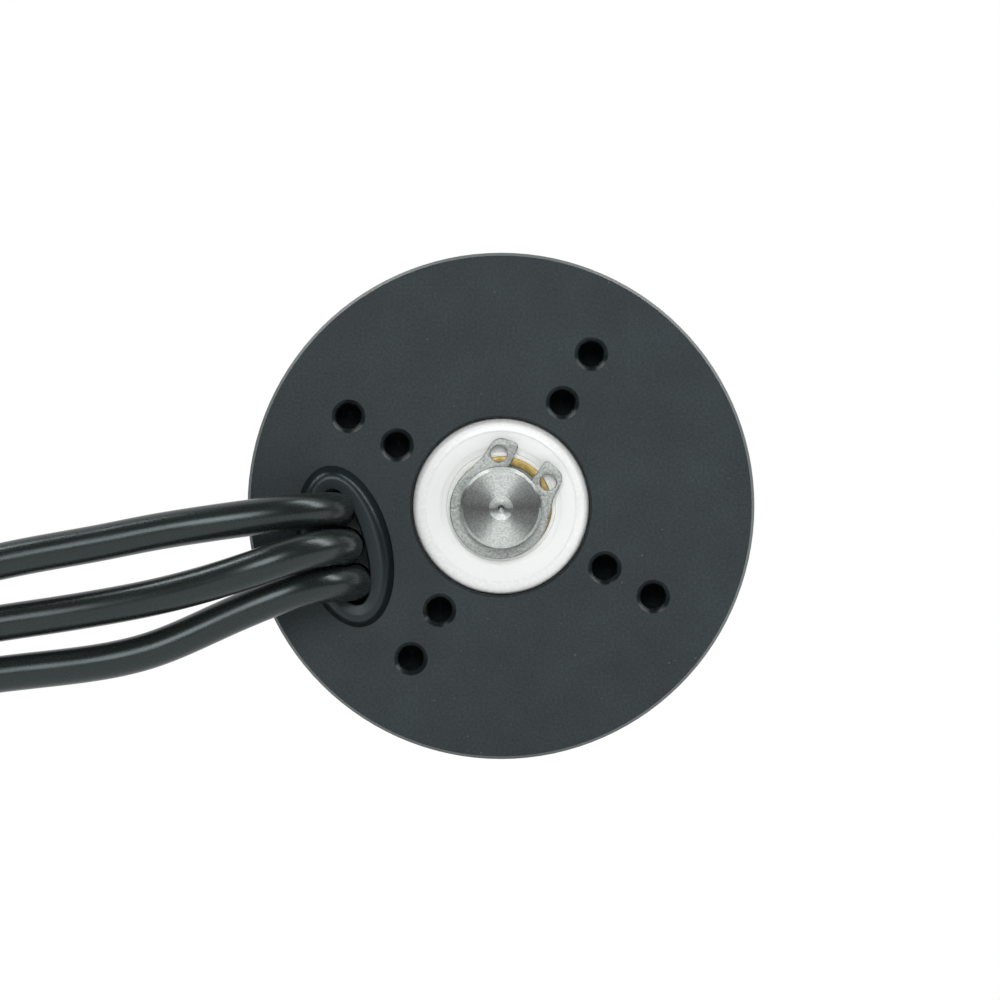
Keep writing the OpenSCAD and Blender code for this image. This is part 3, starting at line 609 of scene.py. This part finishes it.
# %% [markdown]
# ## The thrust washer
# The brass washer under the circlip is loose on the shaft, so it hangs a little off centre: its edge shows
# between the lugs and beside one of them, but not on the far side. It is a plain turned ring with worn edges.

# %% Thrust washer
WASHER_R = (5.17, 6.21)
WASHER_HANGS = (0.145, 0.04)
WASHER_CORNERS = (0.1, 0.12)
washer_start, washer_end = (corner[1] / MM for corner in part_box("thrust_washer"))
washer_outline = [[WASHER_R[k], depth, WASHER_CORNERS[k]]
                  for depth, sides in ((washer_start, (0, 1)), (washer_end, (1, 0))) for k in sides]
washer_grid = carry_round(round_corners(washer_outline), WASHER_HANGS) * MM
make_piece("thrust_washer_worn", [grid_surface(washer_grid, True, True)], "rotor", "washer_brass",
           ["thrust_washer"])

# %% [markdown]
# ## The windings
# Twelve coils of enamelled wire sit round the stator's teeth. They show through the windows of the end cap.
# A coil is one closed surface: a flat section carried round the tooth, from a small rectangle on the inside
# to a rounder one on the outside. The outside is scalloped, one scallop for each turn of the wire.

# %% Coils
SLOT_COUNT = 12
COIL_R = (17.3, 23.5)
COIL_MIDDLE = 38.0
COIL_HOLE = (21.0, 2.8)
COIL_OUT = (25.5, 4.335)
COIL_CORNERS = (0.4, 1.9)
COIL_TURNS = 7
STEPS_PER_WIRE = 8
WIRE_DIP = 0.28
WIRE_POWER = 0.6


def rounded_loop(half_length, half_width, corner, steps=7):
    """A rectangle with round corners, as (along, across) points, the same number for any size."""
    corners = [[half_length, half_width], [-half_length, half_width], [-half_length, -half_width],
               [half_length, -half_width]]
    return round_corners([[*place, corner] for place in corners], steps=steps)


def coil_surface(turn_degrees):
    """One coil: for each point of the loop, a section that runs out, along the scallops and back in.

    The section's place is given by a share across the winding and a distance from the shaft axis. On the
    outer side the share falls by the dip between two wires, which is one less a power of the size of a
    sine."""
    inner = rounded_loop(*COIL_HOLE, COIL_CORNERS[0])
    outer = rounded_loop(*COIL_OUT, COIL_CORNERS[1])
    thickness = np.linalg.norm(outer - inner, axis=1)[:, None]
    rise = np.linspace(0, 1, COIL_TURNS * STEPS_PER_WIRE + 1)
    dip = WIRE_DIP * (1 - np.abs(np.sin(np.pi * rise * COIL_TURNS)) ** WIRE_POWER)
    outside = np.concatenate([[0], np.ones(len(rise)), [0]])
    share = outside - np.concatenate([[0], dip, [0]])[None] / thickness
    height = np.concatenate([[0], rise, [1]])
    out = COIL_R[0] + (COIL_R[1] - COIL_R[0]) * height[None] + 0 * thickness
    along = inner[:, :1] + (outer - inner)[:, :1] * share
    across = inner[:, 1:] + (outer - inner)[:, 1:] * share
    turn = np.radians(turn_degrees)
    x = out * np.cos(turn) - across * np.sin(turn)
    z = out * np.sin(turn) + across * np.cos(turn)
    return grid_surface(np.stack([x, COIL_MIDDLE + along, z], -1) * MM, True, True)


for k, phase in enumerate("abc"):
    teeth = [2 * k, 2 * k + 1, 2 * k + 6, 2 * k + 7]
    coils = [coil_surface(np.degrees(OUTLET_TURN) + tooth * 360 / SLOT_COUNT) for tooth in teeth]
    make_piece(f"phase_{phase}_windings", coils, "stator", "winding_copper", [f"phase_{phase}_coils"])

# %% [markdown]
# ## Threads
# The eight screw holes are tapped. A screw thread is a wall whose radius is a triangle wave of the depth, and
# the wave shifts by one pitch in each turn. A thin lining with that inner wall goes into each plain hole.

# %% Threaded linings
THREAD_PITCH = 0.7
THREAD_DEPTH = 0.17
BOLT_HOLE_R = 1.7
BOLT_CIRCLES = (15.0, 22.0)
BOLT_TURN = 59.4
THREAD_SPAN = (0.45, 6.4)
STEPS_PER_PITCH = 6
LINING_T = 0.02


def thread_surface(centre, around=40):
    """A threaded lining: radius = hole radius less a triangle wave of (depth / pitch - angle / full turn)."""
    depth = np.arange(*THREAD_SPAN, THREAD_PITCH / STEPS_PER_PITCH)
    angle = np.linspace(0, 1, around, endpoint=False)[:, None]
    wave = np.abs(np.mod(depth[None] / THREAD_PITCH - angle, 1) * 2 - 1)
    radius = BOLT_HOLE_R - THREAD_DEPTH * wave
    radius[:, [0, -1]] = BOLT_HOLE_R
    wall = np.full((around, 1), BOLT_HOLE_R + LINING_T)
    radius = np.concatenate([radius, wall, wall], 1)
    depth = np.concatenate([depth, depth[[-1, 0]]])[None] + 0 * angle
    turn = 2 * np.pi * angle
    grid = np.stack([centre[0] + radius * np.cos(turn), depth, centre[1] + radius * np.sin(turn)], -1)
    return grid_surface(grid * MM, True, True)


threads = [thread_surface(polar(radius, BOLT_TURN + 90 * k)) for radius in BOLT_CIRCLES for k in range(4)]
make_piece("tapped_threads", threads, "stator", "anodised_black")

# %% [markdown]
# ## Finishes
# Three patterns cover the whole motor, and each is a node group with named sockets, made once. Grain is the
# fine roughness, mottling and stray pale specks of a blasted, anodised or moulded surface. Lathe marks are
# fine rings about the shaft axis on faces, and fine rings along it on cylinders. Drawn marks run along an
# extruded lead, on its own UV map. All put out a colour, a roughness and a height, so any material can wear
# any.


# %% Node helpers
def add_node(tree, kind, sockets=None, **settings):
    """Adds a shader node. A socket is set to a value, or linked when the value is another node's output."""
    made = tree.nodes.new("ShaderNode" + kind)
    for name, value in settings.items():
        setattr(made, name, value)
    for name, value in (sockets or {}).items():
        if isinstance(value, bpy.types.NodeSocket):
            tree.links.new(value, made.inputs[name])
        else:
            made.inputs[name].default_value = value
    return made


def calculate(tree, operation, *values):
    """Adds a Math node and returns its result."""
    return add_node(tree, "Math", dict(enumerate(values)), operation=operation).outputs[0]


def scaled(tree, vector, factor):
    """A colour or a place times a factor."""
    return add_node(tree, "VectorMath", {0: vector, "Scale": factor}, operation="SCALE").outputs[0]


def mixed_color(tree, factor, first, second):
    """A blend of two colours."""
    return add_node(tree, "Mix", {0: factor, 6: first, 7: second}, data_type="RGBA").outputs[2]


def mixed_number(tree, factor, first, second):
    """A blend of two numbers."""
    return add_node(tree, "Mix", {0: factor, 2: first, 3: second}, data_type="FLOAT").outputs[0]


def swing(tree, noise, weight):
    """A noise that swings about zero: its value less a half, times a weight."""
    return calculate(tree, "MULTIPLY_ADD", noise, weight, -weight / 2)


def millimetres(tree):
    """The object's own coordinates in millimetres."""
    return scaled(tree, add_node(tree, "TexCoord").outputs["Object"], 1000.0)


def shaft_place(tree, place):
    """A place's distance from the shaft axis and its depth along the axis."""
    in_plane = add_node(tree, "VectorMath", {0: place, 1: (1, 0, 1)}, operation="MULTIPLY").outputs[0]
    radius = add_node(tree, "VectorMath", {0: in_plane}, operation="LENGTH").outputs["Value"]
    return radius, add_node(tree, "SeparateXYZ", {0: place}).outputs[1]


def facing_shaft(tree):
    """How squarely the surface faces along the shaft, from 0 at its side to 1 on a flat end."""
    normal = add_node(tree, "SeparateXYZ", {0: add_node(tree, "TexCoord").outputs["Normal"]}).outputs[1]
    return calculate(tree, "ABSOLUTE", normal)


def new_group(name, colors, numbers, outputs):
    """Starts a node group with named sockets and returns it with its input and output sockets."""
    group = bpy.data.node_groups.new(name, "ShaderNodeTree")
    for label in colors:
        group.interface.new_socket(label, in_out="INPUT", socket_type="NodeSocketColor")
    for label, value in numbers.items():
        group.interface.new_socket(label, in_out="INPUT", socket_type="NodeSocketFloat").default_value = value
    for label, kind in outputs.items():
        group.interface.new_socket(label, in_out="OUTPUT", socket_type="NodeSocket" + kind)
    return group, group.nodes.new("NodeGroupInput").outputs, group.nodes.new("NodeGroupOutput").inputs


PATTERN_COLORS = ("Color", "Second Color")
PATTERN_OUTPUTS = {"Color": "Color", "Roughness": "Float", "Height": "Float"}


def put_out(group, result, color, roughness, height):
    """Links a pattern's three results to its output sockets."""
    for label, socket in (("Color", color), ("Roughness", roughness), ("Height", height)):
        group.links.new(socket, result[label])


# %% Grain
FINE_WEIGHT = 1.6
BROAD_WEIGHT = 0.8
SPECK_SIZES = (0.07, 1.2)
SPECK_HEIGHT = 0.6
GRAIN_NUMBERS = {"Grains per mm": 4, "Specks per mm": 1, "Specks": 0.1, "Mottle": 0.1, "Roughness": 0.5,
                 "Spread": 0.1}
grain, given, result = new_group("grain", PATTERN_COLORS, GRAIN_NUMBERS, PATTERN_OUTPUTS)
place = millimetres(grain)
fine = add_node(grain, "TexNoise", {"Vector": place, "Scale": given["Grains per mm"], "Detail": 3.0,
                                    "Roughness": 0.6}).outputs["Fac"]
broad = add_node(grain, "TexNoise", {"Vector": place, "Scale": 0.13, "Detail": 3.0}).outputs["Fac"]
cells = add_node(grain, "TexVoronoi", {"Vector": place, "Scale": given["Specks per mm"]}).outputs
lot = add_node(grain, "SeparateColor", {0: cells["Color"]}).outputs[0]
chosen = calculate(grain, "LESS_THAN", lot, given["Specks"])
size = calculate(grain, "MULTIPLY_ADD", lot, SPECK_SIZES[1], SPECK_SIZES[0])
speck = calculate(grain, "MULTIPLY", chosen, calculate(grain, "LESS_THAN", cells["Distance"], size))
unevenness = calculate(grain, "ADD", swing(grain, fine, FINE_WEIGHT), swing(grain, broad, BROAD_WEIGHT))
shade = calculate(grain, "MULTIPLY_ADD", unevenness, given["Mottle"], 1.0)
put_out(grain, result, mixed_color(grain, speck, scaled(grain, given["Color"], shade), given["Second Color"]),
        calculate(grain, "MULTIPLY_ADD", fine, given["Spread"], given["Roughness"]),
        calculate(grain, "MULTIPLY_ADD", speck, SPECK_HEIGHT, fine))

# %% Lathe marks
FACE_FROM = 0.5
LATHE_NUMBERS = {"Lines per mm": 8, "Contrast": 0.2, "Stain": 0.2, "Roughness": 0.3, "Spread": 0.1}
lathe, given, result = new_group("lathe marks", PATTERN_COLORS, LATHE_NUMBERS, PATTERN_OUTPUTS)
place = millimetres(lathe)
radius, depth = shaft_place(lathe, place)
on_face = calculate(lathe, "GREATER_THAN", facing_shaft(lathe), FACE_FROM)
line_place = calculate(lathe, "MULTIPLY", mixed_number(lathe, on_face, depth, radius), given["Lines per mm"])
lines = add_node(lathe, "TexNoise", {"W": line_place, "Scale": 1.0, "Detail": 2.0},
                 noise_dimensions="1D").outputs["Fac"]
smudge = add_node(lathe, "TexNoise", {"Vector": place, "Scale": 4.0, "Detail": 6.0}).outputs["Fac"]
centred = calculate(lathe, "SUBTRACT", lines, 0.5)
shade = calculate(lathe, "MULTIPLY_ADD", centred, given["Contrast"], 1.0)
patches = add_node(lathe, "MapRange", {"Value": smudge, "From Min": 0.35, "From Max": 0.65}).outputs[0]
stain = calculate(lathe, "MULTIPLY", patches, given["Stain"])
put_out(lathe, result, mixed_color(lathe, stain, scaled(lathe, given["Color"], shade), given["Second Color"]),
        calculate(lathe, "MULTIPLY_ADD", calculate(lathe, "ADD", centred, smudge), given["Spread"],
                  given["Roughness"]), lines)

# %% Drawn marks
SKIN_WEIGHT = 0.5
SKIN_HEIGHT = 0.3
DUST_FROM = 0.72
DUST_SHARE = 0.4
DRAWN_NUMBERS = {"Length": 180, "Radius": 2.25, "Stretch": 0.08, "Mottle": 0.2, "Roughness": 0.35,
                 "Spread": 0.1}
drawn, given, result = new_group("drawn marks", PATTERN_COLORS, DRAWN_NUMBERS, PATTERN_OUTPUTS)
uv_place = add_node(drawn, "UVMap", uv_map="along_and_around").outputs[0]
uv = add_node(drawn, "SeparateXYZ", {0: uv_place}).outputs
run = calculate(drawn, "MULTIPLY", calculate(drawn, "MULTIPLY", uv[0], given["Length"]), given["Stretch"])
turn = calculate(drawn, "MULTIPLY", uv[1], 2 * np.pi)
side = calculate(drawn, "MULTIPLY", calculate(drawn, "COSINE", turn), given["Radius"])
top = calculate(drawn, "MULTIPLY", calculate(drawn, "SINE", turn), given["Radius"])
around = add_node(drawn, "CombineXYZ", {0: run, 1: side, 2: top}).outputs[0]
streak = add_node(drawn, "TexNoise", {"Vector": around, "Scale": 2.2, "Detail": 4.0}).outputs["Fac"]
skin = add_node(drawn, "TexNoise", {"Vector": millimetres(drawn), "Scale": 5.0, "Detail": 3.0}).outputs["Fac"]
skin_part = calculate(drawn, "MULTIPLY_ADD", skin, SKIN_WEIGHT, -(1 + SKIN_WEIGHT) / 2)
unevenness = calculate(drawn, "ADD", streak, skin_part)
shade = calculate(drawn, "MULTIPLY_ADD", unevenness, given["Mottle"], 1.0)
dust = calculate(drawn, "MULTIPLY", calculate(drawn, "GREATER_THAN", skin, DUST_FROM), DUST_SHARE)
put_out(drawn, result, mixed_color(drawn, dust, scaled(drawn, given["Color"], shade), given["Second Color"]),
        calculate(drawn, "MULTIPLY_ADD", unevenness, given["Spread"], given["Roughness"]),
        calculate(drawn, "MULTIPLY_ADD", skin, SKIN_HEIGHT, streak))

# %% [markdown]
# The fourth pattern is a mask over the others. It finds the slanted and sideways faces of a piece by how
# squarely they face along the shaft, and changes what another pattern says there: a cut face has its own
# shade and roughness and no grain. A chamfer that lies far enough out and near the mounting face is painted a
# lighter grey, a painted highlight.

# %% Cut edges
FLAT_FROM = 0.97
CUT_FROM = 0.9
CHAMFER_FROM = 0.3
SHEEN_DEPTH = 8.5
CUT_NUMBERS = {"Roughness": 0.4, "Height": 0, "Cut shade": 0.5, "Cut roughness": 0.2, "Sheen beyond": 100}
edges, given, result = new_group("cut edges", ("Color", "Painted sheen color"), CUT_NUMBERS, PATTERN_OUTPUTS)
radius, depth = shaft_place(edges, millimetres(edges))
squareness = facing_shaft(edges)
turned_away = add_node(edges, "MapRange", {"Value": squareness, "From Min": FLAT_FROM,
                                           "From Max": CUT_FROM}).outputs[0]
shade = mixed_number(edges, turned_away, 1.0, given["Cut shade"])
roughness = mixed_number(edges, turned_away, given["Roughness"], given["Cut roughness"])
height = calculate(edges, "MULTIPLY", given["Height"], calculate(edges, "SUBTRACT", 1.0, turned_away))
# A chamfer far out and near the mounting face is painted a lighter grey here: a painted highlight.
on_rim = calculate(edges, "MULTIPLY", calculate(edges, "GREATER_THAN", radius, given["Sheen beyond"]),
                   calculate(edges, "LESS_THAN", depth, SHEEN_DEPTH))
on_chamfer = calculate(edges, "MULTIPLY", turned_away,
                       calculate(edges, "GREATER_THAN", squareness, CHAMFER_FROM))
painted_sheen = calculate(edges, "MULTIPLY", on_rim, on_chamfer)
color = mixed_color(edges, painted_sheen, scaled(edges, given["Color"], shade), given["Painted sheen color"])
put_out(edges, result, color, roughness, height)
print("patterns:", [group.name for group in bpy.data.node_groups])

# %% [markdown]
# A finish is one material: a pattern with its own values, a bump made from the pattern's height, and the
# plain numbers of the surface, such as how metallic it is, set on the shader itself.


# %% Materials
def new_finish(name, pattern, color, second, numbers, relief, shader):
    """A material that wears a pattern. Relief is the pattern's height in millimetres."""
    material = bpy.data.materials.new(name)
    material.use_nodes = True
    tree = material.node_tree
    principled = tree.nodes["Principled BSDF"]
    wears = tree.nodes.new("ShaderNodeGroup")
    wears.node_tree = pattern
    wears.inputs["Color"].default_value = (*color, 1)
    wears.inputs["Second Color"].default_value = (*second, 1)
    for label, value in numbers.items():
        wears.inputs[label].default_value = value
    bump = add_node(tree, "Bump", {"Height": wears.outputs["Height"], "Distance": relief * MM,
                                   "Strength": 1.0})
    tree.links.new(wears.outputs["Color"], principled.inputs["Base Color"])
    tree.links.new(wears.outputs["Roughness"], principled.inputs["Roughness"])
    tree.links.new(bump.outputs["Normal"], principled.inputs["Normal"])
    for label, value in shader.items():
        principled.inputs[label].default_value = value
    return material


METAL = {"Metallic": 1.0}
COOL = (0.84, 0.96, 1.0, 1)
FINISHES = {
    "anodised_black": (
        grain, (0.021, 0.031, 0.0345), (0.07, 0.085, 0.085),
        {"Grains per mm": 3, "Specks per mm": 1.2, "Specks": 0.06, "Mottle": 1.0, "Roughness": 0.42,
         "Spread": 0.2}, 0.02, {"Specular IOR Level": 0.3}),
    "can_black": (
        lathe, (0.028, 0.031, 0.033), (0.05, 0.055, 0.055),
        {"Lines per mm": 4, "Contrast": 0.2, "Stain": 0.5, "Roughness": 0.3, "Spread": 0.12}, 0.006, {}),
    "ceramic_white": (
        grain, (0.88, 0.905, 0.89), (0.6, 0.62, 0.6),
        {"Grains per mm": 2, "Specks per mm": 0.6, "Specks": 0.01, "Mottle": 0.02, "Roughness": 0.22,
         "Spread": 0.1}, 0.002, {}),
    "seal_white": (
        grain, (0.9, 0.925, 0.91), (0.6, 0.62, 0.6),
        {"Grains per mm": 6, "Specks per mm": 0.7, "Specks": 0.015, "Mottle": 0.03, "Roughness": 0.42,
         "Spread": 0.1}, 0.006, {}),
    "laminated_steel": (
        lathe, (0.34, 0.35, 0.36), (0.2, 0.2, 0.2),
        {"Lines per mm": 3, "Contrast": 0.9, "Stain": 0.4, "Roughness": 0.4, "Spread": 0.2}, 0.05, METAL),
    "insulator_plastic": (
        grain, (0.5, 0.48, 0.36), (0.4, 0.36, 0.25), {"Mottle": 0.1, "Roughness": 0.5}, 0.01, {}),
    "winding_copper": (
        grain, (0.48, 0.17, 0.055), (0.2, 0.07, 0.03),
        {"Grains per mm": 1.5, "Specks": 0.05, "Mottle": 0.35, "Roughness": 0.28, "Spread": 0.1}, 0.01,
        {"Metallic": 0.75, "Coat Weight": 0.5}),
    "lead_silicone": (
        drawn, (0.0115, 0.0155, 0.0145), (0.05, 0.055, 0.05),
        {"Mottle": 0.35, "Roughness": 0.27, "Spread": 0.12}, 0.01, {"Specular Tint": COOL}),
    "grommet_rubber": (
        grain, (0.002, 0.006, 0.0075), (0.03, 0.035, 0.03),
        {"Grains per mm": 3, "Specks per mm": 1.1, "Specks": 0.03, "Mottle": 0.3, "Roughness": 0.34,
         "Spread": 0.14}, 0.008, {"Specular Tint": COOL}),
    "heat_shrink": (
        grain, (0.01, 0.01, 0.011), (0.03, 0.03, 0.03),
        {"Grains per mm": 2, "Mottle": 0.2, "Roughness": 0.4, "Spread": 0.1}, 0.01, {}),
    "gold_plated": (
        grain, (0.83, 0.57, 0.2), (0.5, 0.3, 0.1),
        {"Grains per mm": 2, "Specks": 0.02, "Mottle": 0.1, "Roughness": 0.18, "Spread": 0.1}, 0.003, METAL),
    "shaft_steel": (
        lathe, (0.37, 0.39, 0.38), (0.18, 0.2, 0.19),
        {"Lines per mm": 9, "Contrast": 0.5, "Stain": 0.6, "Roughness": 0.3, "Spread": 0.12}, 0.002,
        {"Metallic": 1.0, "Anisotropic": 1.0}),
    "spring_steel": (
        grain, (0.33, 0.35, 0.34), (0.12, 0.12, 0.11),
        {"Grains per mm": 3, "Specks per mm": 4, "Specks": 0.2, "Mottle": 1.2, "Roughness": 0.28,
         "Spread": 0.3}, 0.08, METAL),
    "washer_brass": (
        grain, (0.31, 0.23, 0.085), (0.1, 0.07, 0.03),
        {"Grains per mm": 2, "Specks per mm": 2, "Specks": 0.15, "Mottle": 1.0, "Roughness": 0.25,
         "Spread": 0.25}, 0.04, METAL),
    "magnet_nickel": (
        grain, (0.55, 0.54, 0.5), (0.35, 0.34, 0.3), {"Mottle": 0.1, "Roughness": 0.25}, 0.004, METAL),
}
finishes = {name: new_finish(name, *values) for name, values in FINISHES.items()}
print("finishes:", list(finishes))

# %% [markdown]
# Two finishes need a little more. The plate's chamfers and holes are cut, not blasted, so all that doesn't
# face along the shaft is smoother and catches the lamps, and the chamfers on the plate's rim are painted a
# lighter grey, a painted highlight. The shaft's sides, chamfers and centre drilling are a brighter steel that
# scatters light evenly,
# and its end is turned: the rings scatter light across themselves, which makes the two-winged glint of
# turned steel. For that the shader needs the way across the rings: square to the ring's own way, which goes
# round the axis, and to the surface.

# %% Cut edges and turned rings
# The lighter grey painted on the plate's rim chamfers is a painted highlight.
RIM_PAINTED_SHEEN = (0.14, 0.155, 0.155, 1)
PLATE_RIM_R = 31.1
NO_RIM_R = 100


def cut_edges_on(name, shade, roughness, sheen_beyond):
    """Puts the cut edges between a finish's pattern and its shader."""
    tree = finishes[name].node_tree
    cutter = tree.nodes.new("ShaderNodeGroup")
    cutter.node_tree = edges
    cutter.inputs["Cut shade"].default_value = shade
    cutter.inputs["Cut roughness"].default_value = roughness
    cutter.inputs["Sheen beyond"].default_value = sheen_beyond
    cutter.inputs["Painted sheen color"].default_value = RIM_PAINTED_SHEEN
    principled = tree.nodes["Principled BSDF"]
    ends = {"Color": principled.inputs["Base Color"], "Roughness": principled.inputs["Roughness"],
            "Height": tree.nodes["Bump"].inputs["Height"]}
    for label, end in ends.items():
        tree.links.new(end.links[0].from_socket, cutter.inputs[label])
        tree.links.new(cutter.outputs[label], end)


def square_to(tree, first, second):
    """The way that is square to two others, their cross product."""
    return add_node(tree, "VectorMath", {0: first, 1: second}, operation="CROSS_PRODUCT").outputs[0]


cut_edges_on("anodised_black", 0.5, 0.32, PLATE_RIM_R)
cut_edges_on("shaft_steel", 1.8, 0.42, NO_RIM_R)

tree = finishes["shaft_steel"].node_tree
own = add_node(tree, "TexCoord").outputs
across = square_to(tree, square_to(tree, (0, 1, 0), own["Object"]), own["Normal"])
in_world = add_node(tree, "VectorTransform", {0: across}, vector_type="VECTOR", convert_from="OBJECT",
                    convert_to="WORLD").outputs[0]
tree.links.new(in_world, tree.nodes["Principled BSDF"].inputs["Tangent"])

# %% Dressing
for part in frame["record"]["subparts"]:
    for place in nodes[part["node"]].material_slots:
        place.material = finishes[part["material_slot"]]
for piece in new_pieces:
    piece.data.materials.append(finishes[piece["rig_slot"]])
print("dressed nodes:", len(nodes), "and new pieces:", len(new_pieces))

# %% [markdown]
# ## Light
# The photograph is lit from in front and above, and its background is plain white. The turned shaft end is
# bright above and below and dark to the sides, so the main lamp stands in front and above, and the room in
# front is dim. The rim of the plate shines where a lamp stands straight out from it, so two narrow lamps
# stand high to the left and to the right, level with the plate.

# %% Lamps
LAMPS = {
    "strip_left": ((-0.44, -0.06, 0.55), (0.12, 0.5), 2.0),
    "strip_right": ((0.5, -0.06, 0.5), (0.12, 0.62), 2.5),
    "lamp_front": ((0.0, -0.9, 0.34), (0.45, 0.4), 4.3)}
for name, (place, size, power) in LAMPS.items():
    lamp = bpy.data.lights.new(name, "AREA")
    lamp.shape = "RECTANGLE"
    lamp.size, lamp.size_y = size
    lamp.energy = power
    stand = bpy.data.objects.new(name, lamp)
    stand.location = place
    stand.rotation_euler = (-stand.location).to_track_quat("-Z", "Y").to_euler()
    bpy.context.scene.collection.objects.link(stand)
print("lamps:", list(LAMPS))

# %% [markdown]
# The room is a world whose brightness depends on the direction alone. It is dim in front of the motor,
# dimmer still at its sides, and white behind it, as the picture's background is. The camera itself always
# sees it white.

# %% World
FRONT_LEVEL = 0.17
SIDE_LEVEL = 0.06
FRONT_TURNS = (-0.95, -0.7)
BEHIND_TURNS = (0.0, 0.3)
world = bpy.data.worlds.new("studio")
bpy.context.scene.world = world
world.use_nodes = True
tree = world.node_tree
sky = tree.nodes["Background"]
sky.inputs["Color"].default_value = (1, 1, 1, 1)
direction = add_node(tree, "SeparateXYZ", {0: add_node(tree, "TexCoord").outputs["Generated"]}).outputs[1]


def level_change(tree, direction, turns, levels):
    """A smooth change between two levels of light, over a range of the direction's part along the shaft."""
    return add_node(tree, "MapRange", {"Value": direction, "From Min": turns[0], "From Max": turns[1],
                                       "To Min": levels[0], "To Max": levels[1]},
                    interpolation_type="SMOOTHSTEP").outputs[0]


ahead = level_change(tree, direction, FRONT_TURNS, (FRONT_LEVEL, SIDE_LEVEL))
behind = level_change(tree, direction, BEHIND_TURNS, (0.0, 1.0))
seen = add_node(tree, "LightPath").outputs["Is Camera Ray"]
level = calculate(tree, "MAXIMUM", seen, calculate(tree, "MAXIMUM", ahead, behind))
tree.links.new(level, sky.inputs["Strength"])
print("room levels, front and side:", FRONT_LEVEL, SIDE_LEVEL)

# %% [markdown]
# The floor is matt white paint to the light that falls on it, so it lights the motor from below. To the
# camera and in reflections it is plain white, as the picture's background is.

# %% Floor
FLOOR_Z = -31.5 * MM
FLOOR_X = (-4.0, 4.0)
FLOOR_Y = (-0.3, 4.0)
FLOOR_WHITE = 0.9
floor_mesh = bpy.data.meshes.new("floor")
floor_mesh.from_pydata([(FLOOR_X[i], FLOOR_Y[j], FLOOR_Z) for i, j in ((0, 0), (1, 0), (1, 1), (0, 1))], [],
                       [(0, 1, 2, 3)])
floor = bpy.data.objects.new("floor", floor_mesh)
bpy.context.scene.collection.objects.link(floor)
paint = bpy.data.materials.new("floor_white")
paint.use_nodes = True
tree = paint.node_tree
tree.nodes.remove(tree.nodes["Principled BSDF"])
matt = add_node(tree, "BsdfDiffuse", {"Color": (FLOOR_WHITE, FLOOR_WHITE, FLOOR_WHITE, 1)}).outputs[0]
glow = add_node(tree, "Emission", {"Color": (1, 1, 1, 1), "Strength": 1.0}).outputs[0]
rays = add_node(tree, "LightPath").outputs
seen = calculate(tree, "MAXIMUM", calculate(tree, "MAXIMUM", rays["Is Camera Ray"], rays["Is Glossy Ray"]),
                 rays["Is Transmission Ray"])
shown = add_node(tree, "MixShader", {0: seen, 1: matt, 2: glow}).outputs[0]
tree.links.new(shown, tree.nodes["Material Output"].inputs["Surface"])
floor_mesh.materials.append(paint)
bpy.context.scene.view_settings.view_transform = "Standard"
print("floor at, mm:", round(FLOOR_Z / MM, 1))
